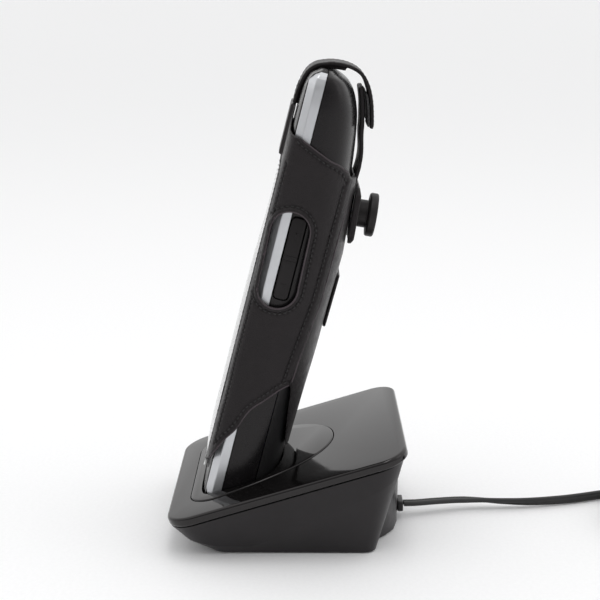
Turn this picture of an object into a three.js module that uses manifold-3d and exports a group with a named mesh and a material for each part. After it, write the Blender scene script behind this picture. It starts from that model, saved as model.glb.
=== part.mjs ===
// A cordless office handset in a leather carry case, standing in its charging base.
// Millimetres, +Z up. The keypad faces -Y, the lead leaves the base at +Y and the
// volume key is on the +X side. The origin is on the floor under the base's middle.

import * as THREE from "three";
import { mergeVertices } from "three/addons/utils/BufferGeometryUtils.js";
import Module from "manifold-3d";

const wasm = await Module();
wasm.setup();

// Fits and drawing tolerances shared by every part
const fit = { gap: 0.3, overrun: 4, weld: 0.0001, skin: 0.02 };

// The charging base: a sloping glossy plate on a housing that leans in to its foot
const base = {
  width: 75, depth: 77, slope: THREE.MathUtils.degToRad(17.1), plateHeight: 22, plateShift: 0.44,
  plateThickness: 3, plateCorner: 9, plateBevel: 0.9, seam: 0.6, seamInset: 1.2,
  footWidth: 60, footFront: -24, footRear: 37, footSideRear: 28.8, footCorner: 4, topCorner: 8.5,
  wall: 2.2, belly: 1.2, groundClearance: 0.5, coverThickness: 1.6, chin: 1.6,
};

// The shiny leaf round the handset, and the cup under it
const cradle = {
  front: -31, rear: 15.7, halfWidth: 27.8, noseCorner: 8, proud: 0.4, thickness: 3, bevel: 0.5,
  cupClearance: 0.6, cupWall: 1.4, ribLength: 3.3, ribThickness: 2, ribReach: 14.4,
};

const foot = { radius: 4.2, height: 1, seat: 0.5, x: 21, front: -16.5, rear: 18.5 };
const screw = {
  radius: 1.4, headRadius: 2.7, headHeight: 0.9, length: 4.6, fromSide: 13.2, y: 9, bossRadius: 3.2,
};
const screwX = base.width / 2 - screw.fromSide;
const ballast = { width: 38, depth: 20, height: 8, y: 14 };
const pin = { radius: 1, collarRadius: 1.7, collarHeight: 0.7, length: 4.4, x: 9, depth: -1 };
const baseBoard = { width: 34, depth: 9, thickness: 1.2, top: -5.8, middle: -1.5 };
const socket = { width: 11, height: 6, depth: 11, wall: 1, z: 4.8 };

// The flat twin lead with its small plug, and the wall adapter at its far end
const plug = {
  width: 6.4, height: 3, depth: 8, flangeHeight: 3.6, flangeWidth: 7.2, flangeDepth: 2, proud: 2.2,
};
const lead = { width: 3.3, thickness: 1.7, straight: 3.3 };
const coil = { middleRadius: 19, turns: 6, radialPitch: 2.3, layerPitch: 3.8, x: 6, y: 138 };
const tie = { thickness: 0.6, width: 5, clearance: 0.35, angle: THREE.MathUtils.degToRad(35) };
const adapter = {
  width: 32, length: 50, height: 20, corner: 4, bevel: 1.5, start: 181.3, reliefLength: 16,
  reliefThin: 2.3, reliefThick: 3.8, pinRadius: 2, pinLength: 19, pinSpacing: 18.6, pinFromEnd: 14,
  plateWidth: 26, plateLength: 18, plateHeight: 2,
};

// The handset: a slab with a rounded back, narrower at its foot and top
const handset = {
  length: 145.4, halfWidth: 25, front: 11.6, rear: 12, wall: 2, lean: THREE.MathUtils.degToRad(14.25),
  middleDepth: -20, footHeight: 5.5, frontSplit: -5.25, leastHalf: 0.8, frontPower: 6, rearPower: 2.8,
};
const trim = { thickness: 0.9, low: -10.3, high: -5.3, bottom: 3.5, top: 144.6, inner: 21.2 };
const cover = { split: 4.6, bottom: 7, top: 96 };
const lens = { width: 37, height: 29, corner: 2.5, thickness: 1.1, face: -11.45, z: 94 };
const display = { width: 34, height: 26, thickness: 3.4, face: -10.05 };
const key = {
  width: 11.4, height: 7.2, corner: 2.2, face: -11.3, capBack: -9.3, flangeBack: -8.7, back: -6.95,
  flangeReach: 0.5, clearance: 0.3, stem: 3, pitchX: 13.6, pitchZ: 10.4, bottomZ: 16,
  sideWidth: 8.4, sideHeight: 11, sideX: 15.6, navWidth: 15, navHeight: 13, navZ: 64.5, bevel: 0.35,
};
const rocker = {
  width: 4.7, length: 26.3, z: 87.6, y: -2.55, face: 25.5, inner: 22.4, corner: 1.4, ridge: 0.35, bevel: 0.3,
  post: 3,
};
const earSlot = { width: 11, height: 1.8, z: 137 };
const earpiece = { radius: 4.8, face: -8.3, thickness: 2.4, z: 135 };
const microphone = { radius: 2, face: -8.1, thickness: 2, z: 7.4, hole: 0.8 };
const mainBoard = { halfWidth: 19, bottom: 9.5, top: 127, face: -6.2, thickness: 1.2 };
const battery = { width: 33, bottom: 14, top: 70, face: 0.6, thickness: 6, corner: 2 };
const pad = { width: 5, depth: 3.2, height: 2.3, rise: 0.1 };

// The leather carry case, drawn along its own slightly steeper lean
const sleeve = {
  lean: THREE.MathUtils.degToRad(1.05), shift: -0.13, rise: 14.87, halfWidth: 26.9,
  front: 12.75, frontTop: 14.35, rear: 13.6, bottom: -1.1, top: 117.4, clearance: 0.35, shoulderDepth: 9.2,
  frontPower: 7, rearPower: 2.8, backSlopeStart: 76, backTop: 101, backTopRear: 11,
};
const sideWindow = { width: 12.3, height: 30.4, corner: 6.1, y: -5.6, z: 72, tilt: THREE.MathUtils.degToRad(3) };
const frontWindow = { halfWidth: 19.4, bottom: -3.4, top: 98, corner: 3 };
const film = { thickness: 0.4, bulge: 1, inset: 0.1 };
const strap = {
  width: 20, thickness: 1.1, tape: 0.4, gap: 0.3, rootThickness: 1.2, rootBottom: 101, hingeZ: 117.7,
  top: 133.4, front: 15.4, rear: 11, slotWidth: 12, slotHeight: 2.6, slotZ: 122.4,
};
const tab = { width: 18, thickness: 1.4, tape: 0.4, tapeWidth: 15, rear: 10.9, bottom: 101.4, top: 128 };
const stud = {
  z: 88, lean: THREE.MathUtils.degToRad(6.1), flangeRadius: 6.5, flange: 0.6, neckRadius: 4.5, neckEnd: 4.9,
  headRadius: 7.1, headEnd: 7.7, rim: 0.7,
  patchWidth: 25, patchTop: 9.6, patchBottom: 9, patchOuter: 1.3, patchEdge: 0.4,
};

// Materials, one for each finish on the real object
function finish(color, roughness, metalness = 0) {
  return new THREE.MeshStandardMaterial({ color, roughness, metalness });
}
const glossBlack = finish(0x0c0c0d, 0.12);
const satinBlack = finish(0x1b1b1d, 0.5);
const keyBlack = finish(0x141416, 0.4);
const leather = finish(0x1a1918, 0.55);
const hookTape = finish(0x121212, 0.95);
const silver = finish(0xc9ccd0, 0.35, 0.6);
const rubber = finish(0x151515, 0.9);
const steel = finish(0xa9abad, 0.35, 1);
const gold = finish(0xc79a3c, 0.3, 1);
const circuit = finish(0x1f5a34, 0.6);
const clear = finish(0xdfe4e6, 0.1);
const cellBlue = finish(0x33466b, 0.6);
const green = finish(0x2f8f4a, 0.4);
const red = finish(0xb3362f, 0.4);

// Solids

function solid(geometry, place) {
  const plain = geometry.index ? geometry.toNonIndexed() : geometry.clone();
  plain.deleteAttribute("normal");
  plain.deleteAttribute("uv");
  if (place) plain.applyMatrix4(place);
  const welded = mergeVertices(plain, fit.weld);
  return new wasm.Manifold(new wasm.Mesh({
    numProp: 3,
    vertProperties: new Float32Array(welded.attributes.position.array),
    triVerts: new Uint32Array(welded.index.array),
  }));
}

function surface(manifold) {
  const mesh = manifold.getMesh();
  const geometry = new THREE.BufferGeometry();
  geometry.setAttribute("position", new THREE.BufferAttribute(new Float32Array(mesh.vertProperties), 3));
  geometry.setIndex(new THREE.BufferAttribute(new Uint32Array(mesh.triVerts), 1));
  geometry.computeVertexNormals();
  return geometry;
}

const cut = (body, ...tools) => tools.reduce((left, tool) => left.subtract(tool), body);
const join = (body, ...others) => others.reduce((sum, other) => sum.add(other), body);
const move = (x, y, z) => new THREE.Matrix4().makeTranslation(x, y, z);
const turnX = (angle) => new THREE.Matrix4().makeRotationX(angle);

// An upright round bar, centred on the origin
function roundBar(radius, length, segments) {
  return new THREE.CylinderGeometry(radius, radius, length, segments).rotateX(Math.PI / 2);
}

function block(low, high) {
  const size = high.map((value, axis) => value - low[axis]);
  const middle = high.map((value, axis) => (value + low[axis]) / 2);
  return solid(new THREE.BoxGeometry(...size), move(...middle));
}

function roundedRectangle(width, height, radius) {
  const x = width / 2;
  const y = height / 2;
  const r = Math.min(radius, x, y);
  const shape = new THREE.Shape();
  shape.moveTo(-x + r, -y);
  shape.lineTo(x - r, -y);
  shape.absarc(x - r, -y + r, r, -Math.PI / 2, 0, false);
  shape.lineTo(x, y - r);
  shape.absarc(x - r, y - r, r, 0, Math.PI / 2, false);
  shape.lineTo(-x + r, y);
  shape.absarc(-x + r, y - r, r, Math.PI / 2, Math.PI, false);
  shape.lineTo(-x, -y + r);
  shape.absarc(-x + r, -y + r, r, Math.PI, Math.PI * 1.5, false);
  return shape;
}

function polygon(points) {
  return new THREE.Shape(points.map(([x, y]) => new THREE.Vector2(x, y)));
}

// A shape drawn in XY and given a thickness upwards from zero, with its edges rounded by the bevel
function extrude(shape, thickness, { bevel = 0, steps = 3, bevelSteps = 1 } = {}) {
  const geometry = new THREE.ExtrudeGeometry(shape, {
    depth: thickness - 2 * bevel,
    curveSegments: steps,
    bevelEnabled: bevel > 0,
    bevelThickness: bevel,
    bevelSize: bevel,
    bevelOffset: -bevel,
    bevelSegments: bevelSteps,
  });
  geometry.translate(0, 0, bevel);
  return geometry;
}

// A shape drawn in XZ (x, z) and extruded along +Y from the given face
function alongY(shape, face, thickness, options) {
  const geometry = extrude(shape, thickness, options);
  geometry.rotateX(Math.PI / 2);
  geometry.translate(0, face + thickness, 0);
  return geometry;
}

// A shape drawn in YZ (y, z) and extruded along X, centred on the given x
function alongX(shape, width, x = 0, options = {}) {
  const geometry = extrude(shape, width, options);
  geometry.applyMatrix4(new THREE.Matrix4().makeBasis(
    new THREE.Vector3(0, 1, 0), new THREE.Vector3(0, 0, 1), new THREE.Vector3(1, 0, 0)));
  geometry.translate(x - width / 2, 0, 0);
  return geometry;
}

// A closed skin over rings of points, each ring counter-clockwise seen from the last one
function loft(rings) {
  const count = rings[0].length;
  const points = rings.flat();
  const index = [];
  for (let ring = 0; ring + 1 < rings.length; ring += 1) {
    for (let side = 0; side < count; side += 1) {
      const a = ring * count + side;
      const b = ring * count + ((side + 1) % count);
      index.push(a, b, b + count, a, b + count, a + count);
    }
  }
  const addCap = (ring, start, flip) => {
    const centre = ring.reduce((sum, point) => sum.add(point), new THREE.Vector3()).divideScalar(count);
    points.push(centre);
    const hub = points.length - 1;
    for (let side = 0; side < count; side += 1) {
      const a = start + side;
      const b = start + ((side + 1) % count);
      index.push(hub, ...(flip ? [b, a] : [a, b]));
    }
  };
  addCap(rings[0], 0, true);
  addCap(rings[rings.length - 1], (rings.length - 1) * count, false);
  const geometry = new THREE.BufferGeometry().setFromPoints(points);
  geometry.setIndex(index);
  return geometry;
}

// One ring of a slab section: its front and back halves are superellipses of their own power
function slabRing({ halfWidth, front, rear, frontPower, rearPower, z, splitShare, count }) {
  const split = -front + (front + rear) * splitShare;
  const ring = [];
  for (let step = 0; step < count; step += 1) {
    const angle = (2 * Math.PI * step) / count;
    const c = Math.cos(angle);
    const s = Math.sin(angle);
    const power = s < 0 ? frontPower : rearPower;
    const reach = s < 0 ? front + split : rear - split;
    ring.push(new THREE.Vector3(
      halfWidth * Math.sign(c) * Math.abs(c) ** (2 / power),
      split + reach * Math.sign(s) * Math.abs(s) ** (2 / power),
      z));
  }
  return ring;
}

function lathe(profile, segments = 20) {
  return new THREE.LatheGeometry(profile.map(([r, h]) => new THREE.Vector2(r, h)), segments);
}

// A band of the given thickness under a smooth outer line drawn in YZ
function bandShape(outer, thickness, steps) {
  const line = new THREE.SplineCurve(outer.map(([y, z]) => new THREE.Vector2(y, z)));
  const top = line.getPoints(steps);
  const under = top.map((point, step) => {
    const tangent = line.getTangent(step / steps);
    return new THREE.Vector2(point.x + tangent.y * thickness, point.y - tangent.x * thickness);
  });
  return new THREE.Shape([...top, ...under.reverse()].reverse());
}

// The same outer line moved inwards by a distance, as points for another band
function inset(outer, distance) {
  const line = new THREE.SplineCurve(outer.map(([y, z]) => new THREE.Vector2(y, z)));
  const last = outer.length - 1;
  return outer.map((point, step) => {
    const tangent = line.getTangent(step / last);
    return [point[0] + tangent.y * distance, point[1] - tangent.x * distance];
  });
}

// The scene graph

const phone = new THREE.Group();
const plateGroup = new THREE.Group();
plateGroup.position.set(0, base.plateShift, base.plateHeight);
plateGroup.rotation.x = base.slope;
const handsetGroup = new THREE.Group();
handsetGroup.position.set(
  0,
  handset.middleDepth * Math.cos(handset.lean) + handset.footHeight * Math.sin(handset.lean),
  -handset.middleDepth * Math.sin(handset.lean) + handset.footHeight * Math.cos(handset.lean));
handsetGroup.rotation.x = -handset.lean;
const caseGroup = new THREE.Group();
caseGroup.position.set(0, sleeve.shift, sleeve.rise);
caseGroup.rotation.x = -sleeve.lean;
handsetGroup.add(caseGroup);
const studGroup = new THREE.Group();
caseGroup.add(studGroup);
phone.add(plateGroup, handsetGroup);
for (const group of [phone, plateGroup, handsetGroup, caseGroup]) group.updateMatrix();

const caseInHandset = caseGroup.matrix.clone();
const handsetInCase = caseInHandset.clone().invert();
const handsetInPlate = plateGroup.matrix.clone().invert().multiply(handsetGroup.matrix);
const floorInPlate = plateGroup.matrix.clone().invert();

function add(parent, name, shape, material) {
  const geometry = shape instanceof wasm.Manifold ? surface(shape) : shape;
  const mesh = new THREE.Mesh(geometry, material);
  mesh.name = name;
  parent.add(mesh);
  return mesh;
}

// Charging base

const plateLength = base.depth / Math.cos(base.slope) - base.plateThickness * Math.tan(base.slope);

function leafShape(grow) {
  const toSlope = 1 / Math.cos(base.slope);
  const front = cradle.front * toSlope - grow;
  const rear = cradle.rear * toSlope + grow;
  const half = cradle.halfWidth + grow;
  const length = rear - front;
  const r = cradle.noseCorner + grow;
  const shape = new THREE.Shape();
  shape.moveTo(-half + r, front);
  shape.lineTo(half - r, front);
  shape.absarc(half - r, front + r, r, -Math.PI / 2, 0, false);
  shape.bezierCurveTo(half * sideEaseShares[0], front + length * sideEaseShares[1],
    half * sideEaseShares[2], rear, 0, rear);
  shape.bezierCurveTo(-half * sideEaseShares[2], rear,
    -half * sideEaseShares[0], front + length * sideEaseShares[1], -half, front + r);
  shape.absarc(-half + r, front + r, r, Math.PI, Math.PI * 1.5, false);
  return shape;
}

const sideEaseShares = [0.885, 0.62, 0.62];
const leafSteps = 8;

function makeTopPlate() {
  const outline = roundedRectangle(base.width, plateLength, base.plateCorner);
  let plate = solid(extrude(outline, base.plateThickness, { bevel: base.plateBevel, steps: 5 }));
  const hole = extrude(leafShape(fit.gap), base.plateThickness + 2 * fit.overrun, { steps: leafSteps });
  plate = cut(plate, solid(hole, move(0, 0, -fit.overrun)));
  const tallBoss = (side) => {
    const bottom = base.groundClearance + base.coverThickness + fit.gap;
    const top = plateUnder(screw.y) + base.plateThickness / 2;
    const post = roundBar(screw.bossRadius, top - bottom, 12);
    const drill = roundBar(screw.radius + fit.gap, 2 * screw.length, 10);
    const place = floorInPlate.clone().multiply(move(side * screwX, screw.y, (top + bottom) / 2));
    const drillPlace = floorInPlate.clone().multiply(move(side * screwX, screw.y, bottom));
    return cut(solid(post, place), solid(drill, drillPlace));
  };
  return join(plate, tallBoss(1), tallBoss(-1));
}

// Where the rear edge runs between a rear corner and the middle, and how far it bows out there
const rearLineShares = [[0.75, 0.13], [0.63, 0.46], [0.46, 0.8], [0.22, 0.98], [0, 1]];
const cornerShares = [1 / 3, 2 / 3, 1];
const sideShares = [0.2, 0.4, 0.6, 0.8, 1];

// Points round the base at one level: a front edge, two corners, two sides and a bowed rear edge
function baseRing({ halfWidth, front, rear, sideRear, corner, height }) {
  const half = [];
  const inner = halfWidth - corner;
  for (const share of [0, 0.5, 1]) half.push([inner * share, front]);
  for (const share of cornerShares) {
    const angle = (Math.PI / 2) * share;
    half.push([inner + corner * Math.sin(angle), front + corner * (1 - Math.cos(angle))]);
  }
  const sideLength = sideRear - front - 2 * corner;
  for (const share of sideShares) half.push([halfWidth, front + corner + sideLength * share]);
  for (const share of cornerShares) {
    const angle = (Math.PI / 2) * share;
    half.push([inner + corner * Math.cos(angle), sideRear - corner * (1 - Math.sin(angle))]);
  }
  for (const [across, out] of rearLineShares) half.push([inner * across, sideRear + (rear - sideRear) * out]);
  const right = half.map(([x, y]) => new THREE.Vector3(x, y, height(y)));
  const left = half.slice(1, -1).reverse().map(([x, y]) => new THREE.Vector3(-x, y, height(y)));
  return [...right, ...left];
}

const plateUnder = (y) => base.plateHeight + (y - base.plateShift) * Math.tan(base.slope);
// How high the crease round the housing is, from its foot to its top, at each point of half the ring
const creaseShares = [
  0.5, 0.5, 0.5, 0.5, 0.42, 0.25, 0.16, 0.34, 0.52, 0.64, 0.76, 0.8, 0.84, 0.84, 0.7, 0.55, 0.5, 0.5, 0.5,
];
const chinPoints = 5;

function plateRing(inward, over) {
  const edge = base.seamInset + inward;
  return baseRing({
    halfWidth: base.width / 2 - edge,
    front: -base.depth / 2 + edge,
    rear: base.depth / 2 - edge,
    sideRear: base.depth / 2 - edge,
    corner: base.topCorner,
    height: (y) => plateUnder(y) - base.seam + over,
  });
}

function footRing(inward, z) {
  return baseRing({
    halfWidth: base.footWidth / 2 - inward,
    front: base.footFront + inward,
    rear: base.footRear - inward,
    sideRear: base.footSideRear - inward,
    corner: base.footCorner,
    height: () => z,
  });
}

function housingRings(inward, over) {
  const top = plateRing(inward, over);
  const bottom = footRing(inward, base.groundClearance - over);
  const crease = bottom.map((low, step) => {
    const place = Math.min(step, bottom.length - step);
    const share = creaseShares[place];
    const swell = 4 * share * (1 - share);
    const point = low.clone().lerp(top[step], share);
    point.x *= 1 + (base.belly * swell) / (base.width / 2);
    if (place < chinPoints) point.y -= base.chin * swell;
    return point;
  });
  return [bottom, crease, top];
}

function makeHousing() {
  const shell = cut(solid(loft(housingRings(0, 0))), solid(loft(housingRings(base.wall, fit.overrun / 2))));
  const halfWidth = socket.width / 2 + fit.gap;
  const halfHeight = socket.height / 2 + fit.gap;
  return cut(shell, block(
    [-halfWidth, base.footRear - socket.depth, socket.z - halfHeight],
    [halfWidth, base.depth, socket.z + halfHeight]));
}

function makeBottomCover() {
  const rim = footRing(base.wall + fit.gap, base.groundClearance);
  const upper = footRing(base.wall + fit.gap, base.groundClearance + base.coverThickness);
  let plate = solid(loft([rim, upper]));
  for (const [x, y] of footPlaces) {
    const seat = roundBar(foot.radius + fit.gap, 2 * foot.seat, 14);
    plate = cut(plate, solid(seat, move(x, y, base.groundClearance)));
  }
  for (const side of [-1, 1]) {
    const hole = roundBar(screw.radius + fit.gap, 2 * fit.overrun, 10);
    const sink = roundBar(screw.headRadius + fit.gap, 2 * screw.headHeight, 12);
    plate = cut(plate, solid(hole, move(side * screwX, screw.y, base.groundClearance)),
      solid(sink, move(side * screwX, screw.y, base.groundClearance)));
  }
  const notch = socket.width / 2 + fit.gap;
  const notchFront = base.footRear - socket.depth - 2 * fit.gap;
  return cut(plate, block([-notch, notchFront, -fit.overrun], [notch, base.depth, 2 * fit.overrun]));
}

const footPlaces = [[1, 1], [-1, 1], [1, -1], [-1, -1]].map(([side, end]) => [
  side * foot.x, end > 0 ? foot.rear : foot.front]);

function makeFoot() {
  const r = foot.radius;
  const edge = foot.height / 4;
  const top = foot.height - fit.gap;
  const geometry = lathe([[0, 0], [r - edge, 0], [r, edge], [r, top], [0, top]], 16);
  return geometry.rotateX(Math.PI / 2);
}

function makeScrew() {
  const headTop = screw.headHeight - fit.gap;
  const geometry = lathe([
    [0, headTop / 2], [screw.radius / 2, 0], [screw.headRadius, 0], [screw.headRadius, headTop],
    [screw.radius, headTop], [screw.radius, screw.length - screw.radius], [0, screw.length],
  ], 12);
  return geometry.rotateX(Math.PI / 2);
}

// Handset

const handsetStationShares = [
  [0, 0.83, 0.78, 0.62], [0.0275, 0.9, 0.955, 0.86], [0.069, 0.928, 1, 0.96], [0.15, 0.96, 1, 1],
  [0.42, 1, 1, 1], [0.653, 1, 1, 1], [0.743, 1, 1, 0.92], [0.832, 1, 1, 0.8], [0.915, 0.996, 1, 0.63],
  [0.956, 0.98, 0.975, 0.45], [0.984, 0.94, 0.88, 0.2], [1, 0.81, 0.64, -0.24],
];
const handsetSplitShare = 0.364;
const handsetSides = 32;
const cavitySides = 20;

function handsetBody(grow, sides = handsetSides) {
  return loft(handsetStationShares.map(([along, wide, frontShare, rearShare]) => {
    const front = handset.front * frontShare;
    const rear = handset.rear * rearShare;
    const half = Math.max((front + rear) / 2 + grow, handset.leastHalf);
    return slabRing({
      halfWidth: handset.halfWidth * wide + grow,
      front: half + (front - rear) / 2,
      rear: half - (front - rear) / 2,
      frontPower: handset.frontPower, rearPower: handset.rearPower,
      z: handset.length * along + grow * (2 * along - 1),
      splitShare: handsetSplitShare, count: sides,
    });
  }));
}

const farX = handset.halfWidth + fit.overrun;
const farY = handset.rear + fit.overrun;
const farZ = handset.length + fit.overrun;

function trimBand(side, grow) {
  const inner = side * trim.inner;
  const outer = side * farX;
  return block(
    [Math.min(inner, outer), trim.low - grow, trim.bottom - grow],
    [Math.max(inner, outer), trim.high + grow, trim.top + grow]);
}

function makeTrim(side) {
  return solid(handsetBody(0)).subtract(solid(handsetBody(-trim.thickness))).intersect(trimBand(side, 0));
}

function handsetShell() {
  return cut(solid(handsetBody(0)), solid(handsetBody(-handset.wall, cavitySides)));
}

function trimRecess(side) {
  return cut(solid(handsetBody(fit.overrun)), solid(handsetBody(-trim.thickness - fit.gap)))
    .intersect(trimBand(side, fit.gap));
}

const digitNames = [
  ["key_star", "key_0", "key_hash"], ["key_7", "key_8", "key_9"],
  ["key_4", "key_5", "key_6"], ["key_1", "key_2", "key_3"],
];

function keyPlaces() {
  const places = [];
  digitNames.forEach((names, row) => names.forEach((name, column) => places.push({
    name, x: (column - 1) * key.pitchX, z: key.bottomZ + row * key.pitchZ,
    width: key.width, height: key.height, material: keyBlack,
  })));
  const side = { z: key.navZ, width: key.sideWidth, height: key.sideHeight };
  places.push({ name: "call_key", x: -key.sideX, material: green, ...side });
  places.push({ name: "end_key", x: key.sideX, material: red, ...side });
  places.push({
    name: "navigation_key", x: 0, z: key.navZ, width: key.navWidth, height: key.navHeight, material: keyBlack,
  });
  return places;
}

const keys = keyPlaces();

function outlineAt({ x, z, width, height }, grow, corner = key.corner) {
  const shape = roundedRectangle(width + 2 * grow, height + 2 * grow, corner && corner + grow);
  return { shape, place: move(x, 0, z) };
}

function makeKey(place) {
  const cap = outlineAt(place, 0);
  const flange = outlineAt(place, key.flangeReach + key.clearance, 0);
  const stem = roundedRectangle(key.stem, key.stem, 0);
  const lap = key.capBack - key.face - key.bevel;
  const capBody = alongY(cap.shape, key.face, lap + 2 * key.bevel, { bevel: key.bevel, steps: 2 });
  const flangeBody = alongY(flange.shape, key.capBack, key.flangeBack - key.capBack, { steps: 1 });
  const stemBody = alongY(stem, key.capBack, key.back - key.capBack, { steps: 1 });
  return join(solid(capBody, cap.place), solid(flangeBody, flange.place), solid(stemBody, cap.place));
}

function makeFrontShell() {
  const front = block([-farX, -farY, -fit.overrun], [farX, handset.frontSplit - fit.gap / 2, farZ]);
  let shell = handsetShell().intersect(front);
  shell = cut(shell, trimRecess(1), trimRecess(-1));
  const through = handset.front + fit.overrun;
  const holes = keys.map((place) => {
    const hole = outlineAt(place, key.clearance);
    return solid(alongY(hole.shape, -through, through + handset.frontSplit, { steps: 2 }), hole.place);
  });
  const reach = key.flangeReach + 2 * key.clearance;
  const pocketWidth = Math.max(key.pitchX + key.width / 2, key.sideX + key.sideWidth / 2) + reach;
  const pocket = block(
    [-pocketWidth, key.capBack - key.clearance, key.bottomZ - key.height / 2 - reach],
    [pocketWidth, handset.frontSplit, key.navZ + key.navHeight / 2 + reach]);
  const window = roundedRectangle(lens.width + 2 * fit.gap, lens.height + 2 * fit.gap, lens.corner);
  const slot = roundedRectangle(earSlot.width, earSlot.height, earSlot.height / 2);
  const mouth = roundedRectangle(2 * microphone.hole, 2 * microphone.hole, microphone.hole);
  return cut(shell, ...holes, pocket,
    solid(alongY(window, -through, through + handset.frontSplit), move(0, 0, lens.z)),
    solid(alongY(slot, -through, through + handset.frontSplit, { steps: 2 }), move(0, 0, earSlot.z)),
    solid(alongY(mouth, -through, through + handset.frontSplit, { steps: 2 }), move(0, 0, microphone.z)));
}

function coverBlock(grow) {
  return block([-farX, cover.split - grow, cover.bottom - grow], [farX, farY, cover.top + grow]);
}

function padBlock(side, grow) {
  return block(
    [side * pin.x - pad.width / 2 - grow, pin.depth - pad.depth / 2 - grow, pad.rise - grow],
    [side * pin.x + pad.width / 2 + grow, pin.depth + pad.depth / 2 + grow, pad.rise + pad.height + grow]);
}

function makeRearShell() {
  const rear = block([-farX, handset.frontSplit + fit.gap / 2, -fit.overrun], [farX, farY, farZ]);
  const rockerHole = roundedRectangle(
    rocker.width + 2 * fit.gap, rocker.length + 2 * fit.gap, rocker.corner + fit.gap);
  return cut(handsetShell().intersect(rear), coverBlock(fit.gap),
    padBlock(1, fit.gap), padBlock(-1, fit.gap),
    solid(alongX(rockerHole, handset.halfWidth / 2, handset.halfWidth), move(0, rocker.y, rocker.z)));
}

function makeRocker() {
  const depth = rocker.face - rocker.inner;
  const outline = roundedRectangle(rocker.width, rocker.length, rocker.corner);
  const bar = solid(alongX(outline, depth, rocker.inner + depth / 2, { bevel: rocker.bevel, steps: 2 }));
  const postShape = new THREE.BoxGeometry(rocker.post, rocker.post / 2, rocker.post / 2);
  const post = solid(postShape, move(rocker.inner, 0, 0));
  const ridges = [-1, 1].map((side) => solid(
    new THREE.CylinderGeometry(rocker.ridge, rocker.ridge, rocker.width - 2 * rocker.bevel, 8),
    move(rocker.face, 0, side * 2 * rocker.ridge)));
  return join(bar, post, ...ridges);
}

function facingDisc({ radius, face, thickness }, segments = 16) {
  const geometry = lathe([[0, 0], [radius, 0], [radius, thickness], [0, thickness]], segments);
  return geometry.translate(0, face, 0);
}

// Leather case

const sleeveSplitShare = 0.38;
const sleeveSides = 36;

function sleeveRear(z) {
  if (z <= sleeve.backSlopeStart) return sleeve.rear;
  return sleeve.rear + ((sleeve.backTopRear - sleeve.rear) * (z - sleeve.backSlopeStart))
    / (sleeve.backTop - sleeve.backSlopeStart);
}

function sleeveFront(z) {
  const share = (z - sleeve.bottom) / (sleeve.backTop - sleeve.bottom);
  return sleeve.front + (sleeve.frontTop - sleeve.front) * share;
}

function sleeveBody(grow) {
  const levels = [sleeve.bottom - grow, sleeve.backSlopeStart, sleeve.backTop, sleeve.top + grow];
  return loft(levels.map((z) => slabRing({
    halfWidth: sleeve.halfWidth + grow, front: sleeveFront(z) + grow, rear: sleeveRear(z) + grow,
    frontPower: sleeve.frontPower, rearPower: sleeve.rearPower, z,
    splitShare: sleeveSplitShare, count: sleeveSides,
  })));
}

// The case's side outline from its low front edge, up the back flap, over the rear and up to the strap
const sideOutlineShares = [
  [-1.35, 0], [-1.02, 0], [-0.93, 0.026], [-0.83, 0.059], [-0.67, 0.1], [-0.45, 0.14], [-0.25, 0.198],
  [0.04, 0.236], [0.31, 0.272], [0.5, 0.288], [0.57, 0.262], [0.66, 0.194], [0.83, 0.098], [1.06, 0.0886],
  [1.06, 0.862], [0.6, 0.86], [0.49, 0.876], [0.23, 0.891], [-0.02, 0.899], [-0.53, 0.921], [-0.79, 0.934],
  [-0.92, 0.953], [-1.02, 0.974], [-1.1, 1], [-1.35, 1],
];
const strapShoulderShares = [
  [1.2, 0.89], [0.98, 0.9], [0.8, 0.917], [0.6, 0.945], [0.44, 0.972], [0.373, 1.02], [1.2, 1.02],
];
const sleeveHeight = sleeve.top - sleeve.bottom;
const sleeveLevel = (share) => sleeve.bottom + share * sleeveHeight;

function sleeveRegion() {
  const points = sideOutlineShares.map(([y, z]) => [y * (y < 0 ? sleeve.front : sleeve.rear), sleeveLevel(z)]);
  return solid(alongX(polygon(points), 2 * farX));
}

function shoulderCuts() {
  return [1, -1].map((side) => {
    const points = strapShoulderShares.map(([x, z]) => [side * x * sleeve.halfWidth, sleeveLevel(z)]);
    return solid(alongY(polygon(side > 0 ? points : points.reverse()), -farY, farY - sleeve.shoulderDepth));
  });
}

function makeSleeve() {
  const inside = solid(handsetBody(sleeve.clearance), handsetInCase);
  const root = cut(solid(sleeveBody(strap.rootThickness)), solid(sleeveBody(-fit.skin))).intersect(
    block([-strap.width / 2, -farY, strap.rootBottom], [strap.width / 2, 0, sleeve.top]));
  const rootTop = block([-farX, -farY, sleeve.top], [farX, farY, farZ]);
  const wide = frontWindow.top - frontWindow.bottom;
  const frontShape = roundedRectangle(2 * frontWindow.halfWidth, wide, frontWindow.corner);
  const frontHole = alongY(frontShape, -farY, farY);
  const sideHole = alongX(roundedRectangle(sideWindow.width, sideWindow.height, sideWindow.corner),
    sleeve.halfWidth, sleeve.halfWidth, { steps: 5 });
  const sidePlace = move(0, sideWindow.y, sideWindow.z).multiply(turnX(sideWindow.tilt));
  return cut(join(solid(sleeveBody(0)), root).intersect(sleeveRegion()),
    inside, rootTop, ...shoulderCuts(),
    solid(frontHole, move(0, 0, (frontWindow.top + frontWindow.bottom) / 2)),
    solid(sideHole, sidePlace));
}

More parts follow.
